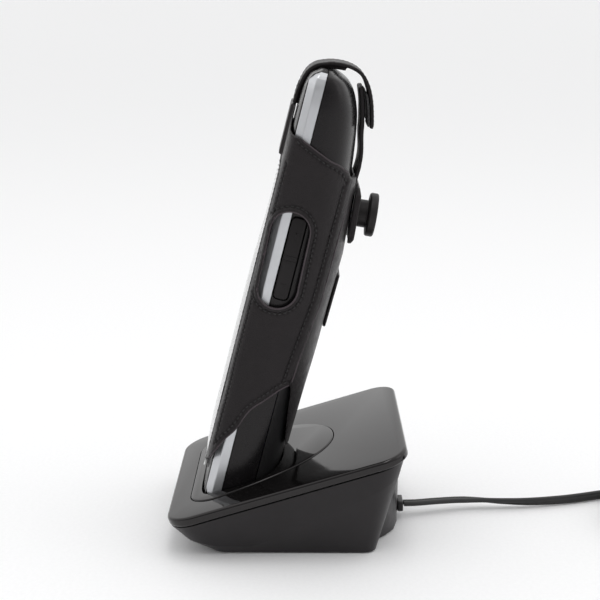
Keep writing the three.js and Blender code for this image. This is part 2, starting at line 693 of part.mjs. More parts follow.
// A clear sheet that bulges out of the front window, most in its lower two thirds
function makeFilm() {
  const low = frontWindow.bottom + fit.gap;
  const high = frontWindow.top - fit.gap;
  const half = frontWindow.halfWidth - fit.gap;
  return loft(filmShares.map(([along, bulge, wide]) => {
    const front = [];
    const back = [];
    for (let step = 0; step <= filmSteps; step += 1) {
      const x = wide * half * ((2 * step) / filmSteps - 1);
      const z = low + (high - low) * along;
      const y = film.inset - sleeveFront(z) - film.bulge * bulge * Math.cos((Math.PI / 2) * (x / half));
      front.push(new THREE.Vector3(x, y, z));
      back.push(new THREE.Vector3(x, y + film.thickness, z));
    }
    return [...front, ...back.reverse()];
  }));
}

// Along the sheet: how high, how much of the bulge and how much of the width
const filmShares = [
  [0, 0.15, 0.85], [0.035, 0.6, 1], [0.12, 1, 1], [0.6, 1, 1], [0.8, 0.5, 1], [0.965, 0.12, 1],
  [1, 0.1, 0.85],
];
const filmSteps = 8;

// The strap's and the tab's outer lines, as shares of how far each reaches forwards, back and up
const strapLineShares = [
  [-1, 0], [-0.994, 0.246], [-0.968, 0.413], [-0.923, 0.599], [-0.846, 0.743], [-0.718, 0.856],
  [-0.577, 0.916],
  [-0.442, 0.964], [-0.173, 1], [0.073, 0.976], [0.309, 0.91], [0.504, 0.784], [0.667, 0.617], [0.805, 0.413],
  [0.919, 0.174], [1, -0.03], [0.99, -0.1],
];
const tabLineShares = [
  [0.42, 1], [0.575, 0.827], [0.73, 0.609], [0.807, 0.459], [0.945, 0.263], [1, 0.098], [1, 0],
];
const strapOuter = strapLineShares.map(([y, z]) => [
  y * (y < 0 ? strap.front : strap.rear), strap.hingeZ + z * (strap.top - strap.hingeZ)]);
const tabOuter = tabLineShares.map(([y, z]) => [y * tab.rear, tab.bottom + z * (tab.top - tab.bottom)]);

function makeStrap() {
  const band = solid(alongX(bandShape(strapOuter, strap.thickness, 30), strap.width));
  const slot = roundedRectangle(strap.slotWidth, strap.slotHeight, strap.slotHeight / 2);
  return cut(band, solid(alongY(slot, -farY, farY), move(0, 0, strap.slotZ)));
}

function makeHookTape() {
  const path = inset(strapOuter, strap.thickness + strap.gap).slice(13);
  return solid(alongX(bandShape(path, strap.tape, 10), strap.width - 2 * strap.gap));
}

function makeTab() {
  return solid(alongX(bandShape(tabOuter, tab.thickness, 12), tab.width));
}

function makeLoopTape() {
  const path = inset(tabOuter, -strap.gap - tab.tape).slice(2, 5);
  return solid(alongX(bandShape(path, tab.tape, 8), tab.tapeWidth));
}

function makeStud() {
  const s = stud;
  return lathe([
    [0, 0], [s.flangeRadius, 0], [s.flangeRadius, s.flange], [s.neckRadius, s.flange],
    [s.neckRadius, s.neckEnd],
    [s.headRadius - s.rim, s.neckEnd], [s.headRadius, s.neckEnd + s.rim], [s.headRadius, s.headEnd - s.rim],
    [s.headRadius - s.rim, s.headEnd], [0, s.headEnd],
  ], 20);
}

function makeStudPatch() {
  const side = polygon([
    [-fit.overrun, -stud.patchBottom], [stud.patchEdge, -stud.patchBottom],
    [stud.patchOuter, -stud.headRadius],
    [stud.patchOuter, stud.headRadius], [stud.patchEdge, stud.patchTop], [-fit.overrun, stud.patchTop]]);
  const slab = solid(alongX(side, stud.patchWidth));
  const outline = roundedRectangle(stud.patchWidth, stud.patchTop + stud.patchBottom, stud.neckRadius);
  const middle = (stud.patchTop - stud.patchBottom) / 2;
  const corners = solid(alongY(outline, -fit.overrun, 2 * fit.overrun), move(0, 0, middle));
  const inStud = studPlace().invert();
  const face = -fit.overrun;
  const flangeTop = stud.flange + fit.gap;
  const well = facingDisc({ radius: stud.flangeRadius + fit.gap, face, thickness: flangeTop - face }, 24);
  const hole = facingDisc({ radius: stud.neckRadius + fit.gap, face, thickness: 3 * fit.overrun }, 24);
  return cut(slab.intersect(corners), solid(sleeveBody(fit.gap), inStud), solid(well), solid(hole));
}

function studPlace() {
  return move(0, sleeveRear(stud.z) + fit.gap + fit.skin, stud.z).multiply(turnX(stud.lean));
}

// Lead, coil and adapter

const leadRoute = [
  [0, 39.6, 4.8], [-0.6, 44, 4.7], [-2.6, 50.5, 4.4], [-5, 58.5, 3.9], [-6.4, 66.5, 3.3], [-7, 75, 2.6],
  [-8, 85, 2.1], [-10.6, 98, 1.9], [-14.6, 111, 2], [-18.4, 123, 2.3], [-19.9, 131.2, 2.6], [-19.9, 134.3, 2.6],
];

// The flat lead's section: its half thickness and half width at each corner
const flatShares = [[0, -1], [-1, -0.45], [-1, 0.45], [0, 1], [1, 0.45], [1, -0.45]];

// A flat lead along a line of points, turned on its edge by the angle that turn gives for each point
function flatLead(line, turn) {
  const last = line.length - 1;
  return line.map((point, step) => {
    const straight = step === 0 || step === last;
    const before = line[Math.max(step - 1, 0)];
    const after = line[Math.min(step + 1, last)];
    const along = straight ? new THREE.Vector3(0, 1, 0) : after.clone().sub(before).setZ(0).normalize();
    const side = new THREE.Vector3(along.y, -along.x, 0);
    const up = new THREE.Vector3(0, 0, 1);
    const angle = turn(step / last);
    const thin = side.clone().multiplyScalar(Math.cos(angle)).addScaledVector(up, -Math.sin(angle));
    const broad = up.clone().multiplyScalar(Math.cos(angle)).addScaledVector(side, Math.sin(angle));
    return flatShares.map(([across, high]) => point.clone()
      .addScaledVector(thin, (across * lead.thickness) / 2)
      .addScaledVector(broad, (high * lead.width) / 2));
  });
}

function spacedPoints(route, steps) {
  const points = route.map((point) => new THREE.Vector3(...point));
  const path = new THREE.CatmullRomCurve3(points, false, "centripetal");
  return path.getSpacedPoints(steps);
}

const upright = () => 0;
// The lead leaves the base lying flat and turns on its edge on the way to the coil
const leadTurnShares = [0.3, 0.65];
function leadTurn(along) {
  const [start, end] = leadTurnShares;
  const share = Math.min(1, Math.max(0, (along - start) / (end - start)));
  return (Math.PI / 2) * (1 - share);
}

const leadSteps = 24;
const tailSteps = 7;
const coilOuter = coil.middleRadius + (coil.turns * coil.radialPitch) / 2;
const coilLow = tie.thickness + tie.clearance + lead.width / 2;
const stepsPerTurn = 24;

// Centre points of the coil: in on the lower layer, up in the half turn where it reverses, out again
function coilLine() {
  const points = [new THREE.Vector3(coil.x - coilOuter, coil.y - lead.straight, coilLow)];
  const steps = 2 * coil.turns * stepsPerTurn;
  for (let step = 0; step <= steps; step += 1) {
    const turns = step / stepsPerTurn;
    const radius = coilOuter - coil.radialPitch * Math.min(turns, 2 * coil.turns - turns);
    const climb = Math.min(1, Math.max(0, (turns - coil.turns) * 2 + 0.5));
    const angle = Math.PI - 2 * Math.PI * turns;
    points.push(new THREE.Vector3(
      coil.x + radius * Math.cos(angle),
      coil.y + radius * Math.sin(angle),
      coilLow + coil.layerPitch * climb));
  }
  points.push(new THREE.Vector3(coil.x - coilOuter, coil.y + lead.straight, coilLow + coil.layerPitch));
  return points;
}

// The least distance between the skins of two stretches of the coil that aren't neighbours along it
function leastGap(rings) {
  let least = Infinity;
  const far = stepsPerTurn / 2;
  rings.forEach((ring, a) => {
    for (let b = a + far; b < rings.length; b += 1) {
      if (rings[b][0].distanceTo(ring[0]) > 3 * lead.width) continue;
      for (const p of ring) {
        for (let side = 0; side < ring.length; side += 1) {
          const edge = new THREE.Line3(rings[b][side], rings[b][(side + 1) % ring.length]);
          const near = edge.closestPointToPoint(p, true, new THREE.Vector3());
          least = Math.min(least, near.distanceTo(p));
        }
      }
    }
  });
  return least;
}

function makeTie() {
  const bundle = coil.turns * coil.radialPitch;
  const width = bundle + lead.thickness + 2 * tie.clearance;
  const height = coil.layerPitch + lead.width + 2 * tie.clearance;
  const ring = roundedRectangle(width + 2 * tie.thickness, height + 2 * tie.thickness, lead.thickness);
  ring.holes.push(roundedRectangle(width, height, lead.thickness - tie.thickness));
  const geometry = extrude(ring, tie.width, { steps: 2 });
  geometry.rotateX(Math.PI / 2);
  geometry.translate(coil.middleRadius, tie.width / 2, height / 2 + tie.thickness);
  geometry.rotateZ(tie.angle);
  return geometry.translate(coil.x, coil.y, 0);
}

const adapterX = coil.x - coilOuter;

function makeAdapter() {
  const outline = roundedRectangle(adapter.width, adapter.length, adapter.corner);
  const body = solid(extrude(outline, adapter.height, { bevel: adapter.bevel, bevelSteps: 2 }),
    move(adapterX, adapter.start + adapter.length / 2, 0));
  const halfWidth = adapter.plateWidth / 2 + fit.gap;
  const halfLength = adapter.plateLength / 2 + fit.gap;
  const seat = block(
    [adapterX - halfWidth, pinPlateY() - halfLength, adapter.height - adapter.plateHeight],
    [adapterX + halfWidth, pinPlateY() + halfLength, adapter.height + fit.overrun]);
  return cut(body, seat);
}

function pinPlateY() {
  return adapter.start + adapter.length - adapter.pinFromEnd;
}

function makePinBlock() {
  const outline = roundedRectangle(adapter.plateWidth, adapter.plateLength, adapter.corner / 2);
  const plate = solid(extrude(outline, adapter.plateHeight, { bevel: fit.gap }),
    move(adapterX, pinPlateY(), adapter.height - adapter.plateHeight + fit.gap));
  const prongs = [-1, 1].map((side) => {
    const r = adapter.pinRadius;
    const end = adapter.pinLength;
    const profile = [[0, 0], [r, 0], [r, end - r], [r / 2, end], [0, end]];
    return solid(lathe(profile, 12).rotateX(Math.PI / 2),
      move(adapterX + (side * adapter.pinSpacing) / 2, pinPlateY(), adapter.height));
  });
  return join(plate, ...prongs);
}

function makeRelief() {
  const { reliefThin: thin, reliefThick: thick, reliefLength: length } = adapter;
  return lathe([[0, 0], [thin, 0], [(thin + thick) / 2, length / 2], [thick, length], [0, length]], 12);
}

function makePlug() {
  const body = new THREE.BoxGeometry(plug.width, plug.depth, plug.height);
  const outline = roundedRectangle(plug.flangeWidth, plug.flangeHeight, plug.flangeHeight / 5);
  const flange = extrude(outline, plug.flangeDepth, { bevel: plug.flangeDepth / 5, steps: 2 });
  flange.rotateX(Math.PI / 2);
  return join(solid(body, move(0, -plug.depth / 2 - plug.flangeDepth / 2, 0)), solid(flange));
}

function makeSocket() {
  const { width, height, depth, wall } = socket;
  const opening = [plug.flangeWidth + 2 * fit.gap, plug.flangeHeight + 2 * fit.gap];
  const outer = solid(new THREE.BoxGeometry(width, depth, height));
  const well = solid(new THREE.BoxGeometry(opening[0], depth, opening[1]), move(0, wall, 0));
  return cut(outer, well);
}

// Assembly

function buildBase() {
  add(phone, "base_housing", makeHousing(), satinBlack);
  add(plateGroup, "base_top_plate", makeTopPlate(), glossBlack);
  add(plateGroup, "cradle_insert", makeInsert(), glossBlack);
  add(phone, "base_bottom_cover", makeBottomCover(), satinBlack);
  footPlaces.forEach(([x, y], place) => {
    add(phone, `rubber_foot_${place + 1}`, makeFoot(), rubber).position.set(x, y, 0);
  });
  [-1, 1].forEach((side) => {
    const name = side < 0 ? "base_screw_left" : "base_screw_right";
    add(phone, name, makeScrew(), steel).position.set(side * screwX, screw.y, base.groundClearance);
    const contact = add(handsetGroup, side < 0 ? "charge_pin_left" : "charge_pin_right", makePin(), gold);
    contact.position.set(side * pin.x, pin.depth, pad.rise - fit.gap);
  });
  const ballastZ = base.groundClearance + base.coverThickness + fit.gap;
  add(phone, "ballast_weight", new THREE.BoxGeometry(ballast.width, ballast.depth, ballast.height), steel)
    .position.set(0, ballast.y, ballastZ + ballast.height / 2);
  add(handsetGroup, "base_circuit_board",
    new THREE.BoxGeometry(baseBoard.width, baseBoard.depth, baseBoard.thickness), circuit)
    .position.set(0, baseBoard.middle, baseBoard.top - baseBoard.thickness / 2);
  const socketRear = base.footRear - fit.gap;
  add(phone, "power_socket", makeSocket(), satinBlack)
    .position.set(0, socketRear - socket.depth / 2, socket.z);
}

function makePin() {
  const { radius, collarRadius, collarHeight, length } = pin;
  const collarTop = -(pad.rise - fit.gap) - cradle.cupClearance - cradle.cupWall - fit.gap;
  return lathe([
    [0, -length], [radius, -length],
    [radius, collarTop - collarHeight], [collarRadius, collarTop - collarHeight],
    [collarRadius, collarTop], [radius, collarTop], [radius, -radius / 2], [radius / 2, 0], [0, 0],
  ], 12).rotateX(Math.PI / 2);
}

function makeInsert() {
  const leaf = extrude(leafShape(0), cradle.thickness + cradle.proud,
    { bevel: cradle.bevel, steps: leafSteps });
  const under = -fit.gap;
  const deep = handset.length;
  const zone = cut(
    block([-base.width, -base.depth, under], [base.width, base.depth, deep]),
    solid(extrude(leafShape(0), deep, { steps: leafSteps }), move(0, 0, -fit.overrun)));
  const above = block([-base.width, -base.depth, cradle.thickness / 2], [base.width, base.depth, 2 * deep]);
  const cup = cut(solid(handsetBody(cradle.cupClearance + cradle.cupWall), handsetInPlate), zone, above);
  const ribTop = -cradle.cupClearance - cradle.cupWall / 2;
  const ribLength = cradle.ribLength + cradle.cupWall / 2;
  const inCup = (x, y, z) => handsetInPlate.clone().multiply(move(x, y, z));
  const ribs = [-1, 1].map((side) => solid(
    new THREE.BoxGeometry(cradle.ribThickness, cradle.ribThickness * 2, ribLength),
    inCup(side * cradle.ribReach, baseBoard.middle, ribTop - ribLength / 2)));
  const pinHoles = [-1, 1].map((side) => solid(
    roundBar(pin.radius + fit.gap, 2 * fit.overrun, 12), inCup(side * pin.x, pin.depth, -cradle.cupWall)));
  const well = solid(handsetBody(cradle.cupClearance), handsetInPlate);
  return cut(join(solid(leaf), cup, ...ribs), well, ...pinHoles);
}

function buildHandset() {
  add(handsetGroup, "front_shell", makeFrontShell(), glossBlack);
  add(handsetGroup, "rear_shell", makeRearShell(), satinBlack);
  add(handsetGroup, "battery_cover", handsetShell().intersect(coverBlock(0)), satinBlack);
  add(handsetGroup, "side_trim_right", makeTrim(1), silver);
  add(handsetGroup, "side_trim_left", makeTrim(-1), silver);
  const lensShape = roundedRectangle(lens.width, lens.height, lens.corner);
  const pane = alongY(lensShape, lens.face, lens.thickness, { bevel: fit.gap, steps: 2 });
  add(handsetGroup, "display_lens", pane, clear).position.z = lens.z;
  const panel = new THREE.BoxGeometry(display.width, display.thickness, display.height);
  add(handsetGroup, "display_module", panel, clear)
    .position.set(0, display.face + display.thickness / 2, lens.z);
  for (const place of keys) add(handsetGroup, place.name, makeKey(place), place.material);
  add(handsetGroup, "volume_rocker", makeRocker(), keyBlack).position.set(0, rocker.y, rocker.z);
  const { halfWidth, bottom, top, face, thickness } = mainBoard;
  const board = new THREE.BoxGeometry(2 * halfWidth, thickness, top - bottom);
  add(handsetGroup, "main_circuit_board", board, circuit)
    .position.set(0, face + thickness / 2, (top + bottom) / 2);
  const pack = roundedRectangle(battery.width, battery.top - battery.bottom, battery.corner);
  const cells = alongY(pack, battery.face, battery.thickness, { steps: 2 });
  add(handsetGroup, "battery_pack", cells, cellBlue).position.z = (battery.top + battery.bottom) / 2;
  add(handsetGroup, "earpiece_speaker", facingDisc(earpiece), steel).position.z = earpiece.z;
  add(handsetGroup, "microphone", facingDisc(microphone, 12), steel).position.z = microphone.z;
  add(handsetGroup, "charge_pad_left", padBlock(-1, 0), gold);
  add(handsetGroup, "charge_pad_right", padBlock(1, 0), gold);
}

function buildCase() {
  add(caseGroup, "case_sleeve", makeSleeve(), leather);
  add(caseGroup, "case_window_film", makeFilm(), clear);
  add(caseGroup, "case_strap", makeStrap(), leather);
  add(caseGroup, "strap_hook_tape", makeHookTape(), hookTape);
  add(caseGroup, "case_back_tab", makeTab(), leather);
  add(caseGroup, "tab_loop_tape", makeLoopTape(), hookTape);
  studGroup.applyMatrix4(studPlace());
  add(studGroup, "stud_patch", makeStudPatch(), leather);
  add(studGroup, "belt_stud", makeStud(), satinBlack);
}

function buildLead() {
  const plugRear = base.footRear + plug.proud;
  add(phone, "cord_plug", makePlug(), satinBlack).position.set(0, plugRear, socket.z);
  add(phone, "power_cord", loft(flatLead(spacedPoints(leadRoute, leadSteps), leadTurn)), rubber);
  const rings = flatLead(coilLine(), upright);
  console.log(`least gap of the coil to itself: ${leastGap(rings).toFixed(2)} mm`);
  add(phone, "cord_coil", loft(rings), rubber);
  add(phone, "cord_tie", makeTie(), rubber);
  const relief = add(phone, "adapter_strain_relief", makeRelief(), rubber);
  relief.position.set(adapterX, adapter.start - fit.gap - adapter.reliefLength, adapter.height / 2);
  add(phone, "power_adapter", makeAdapter(), satinBlack);
  add(phone, "adapter_pin_block", makePinBlock(), satinBlack);
  const tail = [
    [adapterX, coil.y + lead.straight + fit.gap, coilLow + coil.layerPitch],
    [adapterX, coil.y + 3 * lead.straight, coilLow + coil.layerPitch],
    [adapterX, adapter.start - adapter.reliefLength - 3 * lead.straight, adapter.height / 2],
    [adapterX, adapter.start - adapter.reliefLength - 2 * fit.gap, adapter.height / 2],
  ];
  add(phone, "adapter_lead", loft(flatLead(spacedPoints(tail, tailSteps), upright)), rubber);
}

buildBase();
buildHandset();
buildCase();
buildLead();

export default phone;
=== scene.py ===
import random
from math import copysign, cos, exp, pi, radians, sin, sqrt, tan
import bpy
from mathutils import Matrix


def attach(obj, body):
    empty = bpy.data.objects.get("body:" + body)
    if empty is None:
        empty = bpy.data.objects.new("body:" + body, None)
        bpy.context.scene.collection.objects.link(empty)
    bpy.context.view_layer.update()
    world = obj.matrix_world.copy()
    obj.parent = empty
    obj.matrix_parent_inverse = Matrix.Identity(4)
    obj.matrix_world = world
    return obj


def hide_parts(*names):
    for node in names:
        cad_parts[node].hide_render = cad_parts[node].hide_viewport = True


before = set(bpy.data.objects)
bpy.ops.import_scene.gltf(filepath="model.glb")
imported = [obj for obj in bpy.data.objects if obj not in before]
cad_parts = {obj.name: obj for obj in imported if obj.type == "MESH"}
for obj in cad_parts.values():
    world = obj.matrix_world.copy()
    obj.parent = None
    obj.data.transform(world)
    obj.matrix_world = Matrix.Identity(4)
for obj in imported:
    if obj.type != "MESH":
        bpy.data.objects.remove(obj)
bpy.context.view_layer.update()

from types import SimpleNamespace as Sizes

import bmesh
import bpy
import numpy as np
from mathutils import Matrix, Vector, noise
from mathutils.kdtree import KDTree

# A cordless handset in a stitched leather case, standing in its charging base.
# Shapes are drawn in millimetres in the frames of the model's parts and placed in metres.

random.seed(7)
MM = 0.001
TAU = 2 * pi
# Cutting solids reach this far, past the whole object
REACH = 40

# Driving sizes in millimetres, the same as the frame's
base = Sizes(width=75, depth=77, slope=radians(17.1), plate_height=22, plate_shift=0.44, thickness=3,
             corner=9, bevel=0.9, seam=0.6, seam_inset=1.2, foot_width=60, foot_front=-24, foot_rear=37,
             foot_side_rear=28.8, foot_corner=4, top_corner=8.5, wall=2.2, belly=1.2, clearance=0.5,
             chin=1.6, floor=2)
cradle = Sizes(front=-31, rear=15.7, half_width=27.8, nose_corner=8, proud=0.4, thickness=3, bevel=0.5,
               clearance=0.6, wall=1.4, gap=0.3, cup_bottom=-22)
socket = Sizes(width=11, height=6, depth=11, z=4.8, gap=0.3)
plug = Sizes(width=6.4, height=3, depth=8, flange_height=3.6, flange_width=7.2, flange_depth=2, proud=2.2,
             corner=0.5, bevel=0.2, flange_corner=0.9, flange_bevel=0.35)
lead = Sizes(width=3.3, thickness=1.7, straight=3.3)
coil = Sizes(middle_radius=19, turns=6, radial_pitch=2.3, layer_pitch=3.8, x=6, y=138, low=2.6)
handset = Sizes(length=145.4, half_width=25, front=11.6, rear=12, wall=2, lean=radians(14.25),
                middle=-20, foot_height=5.5, split=-5.25, front_power=6, rear_power=2.8, split_share=0.364,
                gap=0.3)
trim = Sizes(thickness=0.9, low=-10.3, fold=-8.1, high=-5.3, bottom=3.5, top=144.6, inner=21.2,
             front_share=0.97, least_width=1.2)
cover = Sizes(split=4.6, bottom=7, top=96)
lens = Sizes(width=37, height=29, corner=2.5, z=94, gap=0.3)
key = Sizes(width=11.4, height=7.2, corner=2.2, face=-11.3, pitch_x=13.6, pitch_z=10.4, bottom_z=16,
            side_width=8.4, side_height=11, side_x=15.6, nav_width=15, nav_height=13, nav_z=64.5, gap=0.3,
            inner=6.9, bevel=0.5)
rocker = Sizes(width=4.7, length=26.3, z=87.6, y=-2.55, face=25.5, inner=22.4, corner=1.4, gap=0.3)
sleeve = Sizes(lean=radians(1.05), shift=-0.13, rise=14.87, half_width=26.9, front=12.75,
               front_top=14.35, rear=13.6, bottom=-1.1, top=117.4, front_power=7, rear_power=2.8,
               slope_start=76, back_top=101, back_top_rear=11.0, split_share=0.38, clearance=0.35,
               shoulder_depth=9.2)
window = Sizes(width=12.3, height=30.4, corner=6.1, y=-5.6, z=72, tilt=radians(3))
opening = Sizes(half_width=19.4, bottom=-3.4, top=98, corner=3)
film = Sizes(thickness=0.4, bulge=1, inset=0.1, gap=0.3)
strap = Sizes(width=20, thickness=1.1, root=1.2, root_bottom=101, bottom=117.7, top=133.4, front=15.4,
              rear=11, slot_width=12, slot_height=2.6, slot_z=122.4, lining=1.3, lining_share=0.52,
              tape_start_share=0.76, groove=0.35)
tab = Sizes(width=18, thickness=1.4, rear=10.9, bottom=101.4, top=128, tape_width=15, tape_end_share=0.3)
stud = Sizes(z=88, lean=radians(6.1), flange_radius=6.5, flange=0.6, neck_radius=4.5, neck_end=4.9,
             head_radius=7.1, head_end=7.7, rim=0.7, fillet=0.3, dish_radius=3.1, dish_floor=2.7, dish=0.3,
             patch_width=25, patch_top=9.6, patch_bottom=9, patch_outer=1.3, patch_edge=0.5,
             patch_root=6, patch_corner=4.5, patch_gap=0.3, seat=0.32)
loop = Sizes(bottom=50, top=68, proud=0.25, width=18, edge=1.2, corner=3, stitch_margin=1.8, stitch_end=2)
pad_pocket = Sizes(x=9, half_width=2.8, front=-2.9, rear=0.9, bottom=-0.5, top=2.7)
legend = Sizes(height=5.2, thickness=0.03, sunk=0.01, star_drop=1.1)
# Width, height, corner and middle of the two sound holes
earpiece_slot = (11, 1.8, 0.9, 0, 137)
microphone_hole = (1.6, 1.6, 0.8, 0, 7.4)

# Frames of the tilted parts, in millimetres

def turned_at(place, angle, axis="X"):
    return Matrix.Translation(place) @ Matrix.Rotation(angle, 4, axis)


plate_frame = turned_at((0, base.plate_shift, base.plate_height), base.slope)
handset_frame = (Matrix.Rotation(-handset.lean, 4, "X")
                 @ Matrix.Translation((0, handset.middle, handset.foot_height)))
case_in_handset = turned_at((0, sleeve.shift, sleeve.rise), -sleeve.lean)
case_frame = handset_frame @ case_in_handset
floor_frame = Matrix.Identity(4)
z_to_rear = Matrix.Rotation(-TAU / 4, 4, "X")


def add_object(name, data):
    made = bpy.data.objects.new(name, data)
    bpy.context.scene.collection.objects.link(made)
    return made


# The camera

LENS = 75
SENSOR = 36
camera_place = Vector((0.4011136, 0.0064623, 0.1754873))
camera_pitch = radians(13.842)
camera_yaw = radians(0.356)


def make_camera():
    data = bpy.data.cameras.new("camera")
    data.lens = LENS
    data.sensor_width = SENSOR
    data.sensor_fit = "HORIZONTAL"
    data.clip_start = 0.01
    data.clip_end = 200
    camera = add_object("camera", data)
    camera.location = camera_place
    camera.rotation_euler = (TAU / 4 - camera_pitch, 0, TAU / 4 + camera_yaw)
    bpy.context.scene.camera = camera


make_camera()


# Node materials

def feed(socket, value):
    """Links an input to another node's output, or sets it to a constant."""
    if isinstance(value, bpy.types.NodeSocket):
        socket.id_data.links.new(value, socket)
    else:
        socket.default_value = value


def add_node(tree, kind, output, inputs, **settings):
    """Adds a shader node, feeds its inputs and gives back one of its outputs."""
    node = tree.nodes.new(f"ShaderNode{kind}")
    for name, value in settings.items():
        setattr(node, name, value)
    for name, value in inputs.items():
        feed(node.inputs[name], value)
    return node.outputs[output]


def scaled(colour, share):
    return tuple(c * share for c in colour)


class Finish:
    """A Principled material with textures measured in millimetres."""

    def __init__(self, name):
        self.material = bpy.data.materials.new(name)
        self.material.use_nodes = True
        self.tree = self.material.node_tree
        self.shader = self.tree.nodes["Principled BSDF"]
        place = add_node(self.tree, "TexCoord", "Object", {})
        self.mm = add_node(self.tree, "Mapping", "Vector", {"Vector": place, "Scale": [1 / MM] * 3})

    def noise(self, scale, detail=3, roughness=0.55, stretch=None):
        vector = self.mm
        if stretch:
            vector = add_node(self.tree, "Mapping", "Vector", {"Vector": vector, "Scale": stretch})
        return add_node(self.tree, "TexNoise", "Fac", {
            "Vector": vector, "Scale": scale, "Detail": detail, "Roughness": roughness})

    def cells(self, scale, feature="DISTANCE_TO_EDGE"):
        return add_node(self.tree, "TexVoronoi", "Distance", {"Vector": self.mm, "Scale": scale},
                        feature=feature)

    def tones(self, value, low, high):
        """A colour that goes from low to high with the value."""
        node = self.tree.nodes.new("ShaderNodeValToRGB")
        for element, position, colour in zip(node.color_ramp.elements, (0.3, 0.7), (low, high)):
            element.position = position
            element.color = (*colour, 1)
        feed(node.inputs["Fac"], value)
        return node.outputs["Color"]

    def span(self, value, low, high, start=0.3, end=0.7):
        return add_node(self.tree, "MapRange", "Result", {
            "Value": value, "From Min": start, "From Max": end, "To Min": low, "To Max": high})

    def made(self, values, *layers, distance=0.0001):
        """The material with these shader inputs and bump layers, each a height and its strength."""
        normal = {}
        for height, strength in layers:
            normal = {"Normal": add_node(self.tree, "Bump", "Normal", {
                "Height": height, "Strength": strength, "Distance": distance, **normal})}
        for name, value in {**values, **normal}.items():
            feed(self.shader.inputs[name], value)
        return self.material


def plastic(name, colour, roughness, spread=0.06, grain=0.0, grain_scale=3.0, coat=0.0, gloss=0.34):
    """Moulded plastic: faint colour change, uneven gloss and, on matt pieces, a fine spark texture."""
    finish = Finish(name)
    broad = finish.noise(0.07, 4)
    sparks = [(finish.noise(grain_scale, 2), grain), (broad, grain / 4)]
    return finish.made({
        "Base Color": finish.tones(broad, scaled(colour, 0.85), scaled(colour, 1.25)),
        "Roughness": finish.span(finish.noise(0.5, 5), max(roughness - spread, 0.02), roughness + spread),
        "Specular IOR Level": gloss, "Specular Tint": (1, 0.955, 0.96, 1),
        "Coat Weight": coat, "Coat Roughness": 0.06,
    }, *(sparks if grain else [(finish.noise(0.35, 2), 0.02)]))


def leather_material(name, colour, roughness=0.36, grain=0.4):
    """Smooth calf leather: pebbled grain, pores, soft wrinkles and a slightly rubbed tone."""
    finish = Finish(name)
    wrinkles = finish.noise(0.22, 3, 0.5, stretch=(1, 1, 0.35))
    pebbles = finish.span(finish.cells(1.5), 0, 1, 0, 0.16)
    pores = finish.noise(5)
    return finish.made({
        "Base Color": finish.tones(finish.noise(0.045, 5, 0.6), scaled(colour, 0.72), scaled(colour, 1.5)),
        "Roughness": finish.span(finish.noise(0.3, 4), roughness - 0.08, roughness + 0.09),
        "Sheen Weight": 0.02, "Sheen Roughness": 0.4,
        "Specular IOR Level": 0.3, "Specular Tint": (1, 0.95, 0.96, 1),
    }, (wrinkles, 0.5), (pebbles, grain), (pores, 0.16), distance=0.00022)


def metal(name, colour, roughness, flake=0.0, metallic=1.0):
    finish = Finish(name)
    speck = finish.noise(9, 2)
    return finish.made({
        "Metallic": metallic, "Base Color": finish.tones(speck, scaled(colour, 0.93), colour),
        "Roughness": finish.span(finish.noise(0.4), roughness - 0.05, roughness + 0.07),
    }, (speck, 0.05 + flake))


def rubber_material(name, colour):
    finish = Finish(name)
    return finish.made({
        "Base Color": finish.tones(finish.noise(0.2, 4), scaled(colour, 0.8), scaled(colour, 1.3)),
        "Roughness": 0.5,
    }, (finish.noise(2.4), 0.1))


def fuzz_material(name, colour):
    """Hook and loop tape: matt, with tangled fibres."""
    finish = Finish(name)
    tangle = finish.noise(1.6, 6, 0.8)
    return finish.made({
        "Base Color": finish.tones(tangle, scaled(colour, 0.5), scaled(colour, 2.2)),
        "Roughness": 0.95, "Sheen Weight": 0.5,
    }, (tangle, 0.9), (finish.cells(2.2, "F1"), 0.6), distance=0.0004)


def clear_material(name, tint, roughness=0.06):
    """Thin clear plastic: see-through, with a glossy face and faint scuffs."""
    finish = Finish(name)
    scuff = finish.noise(0.25, 5, 0.7)
    return finish.made({
        "Base Color": (*tint, 1), "Transmission Weight": 1, "IOR": 1.35,
        "Roughness": finish.span(scuff, roughness, roughness + 0.1, 0.45, 0.75),
    }, (finish.noise(0.09, 2), 0.15))


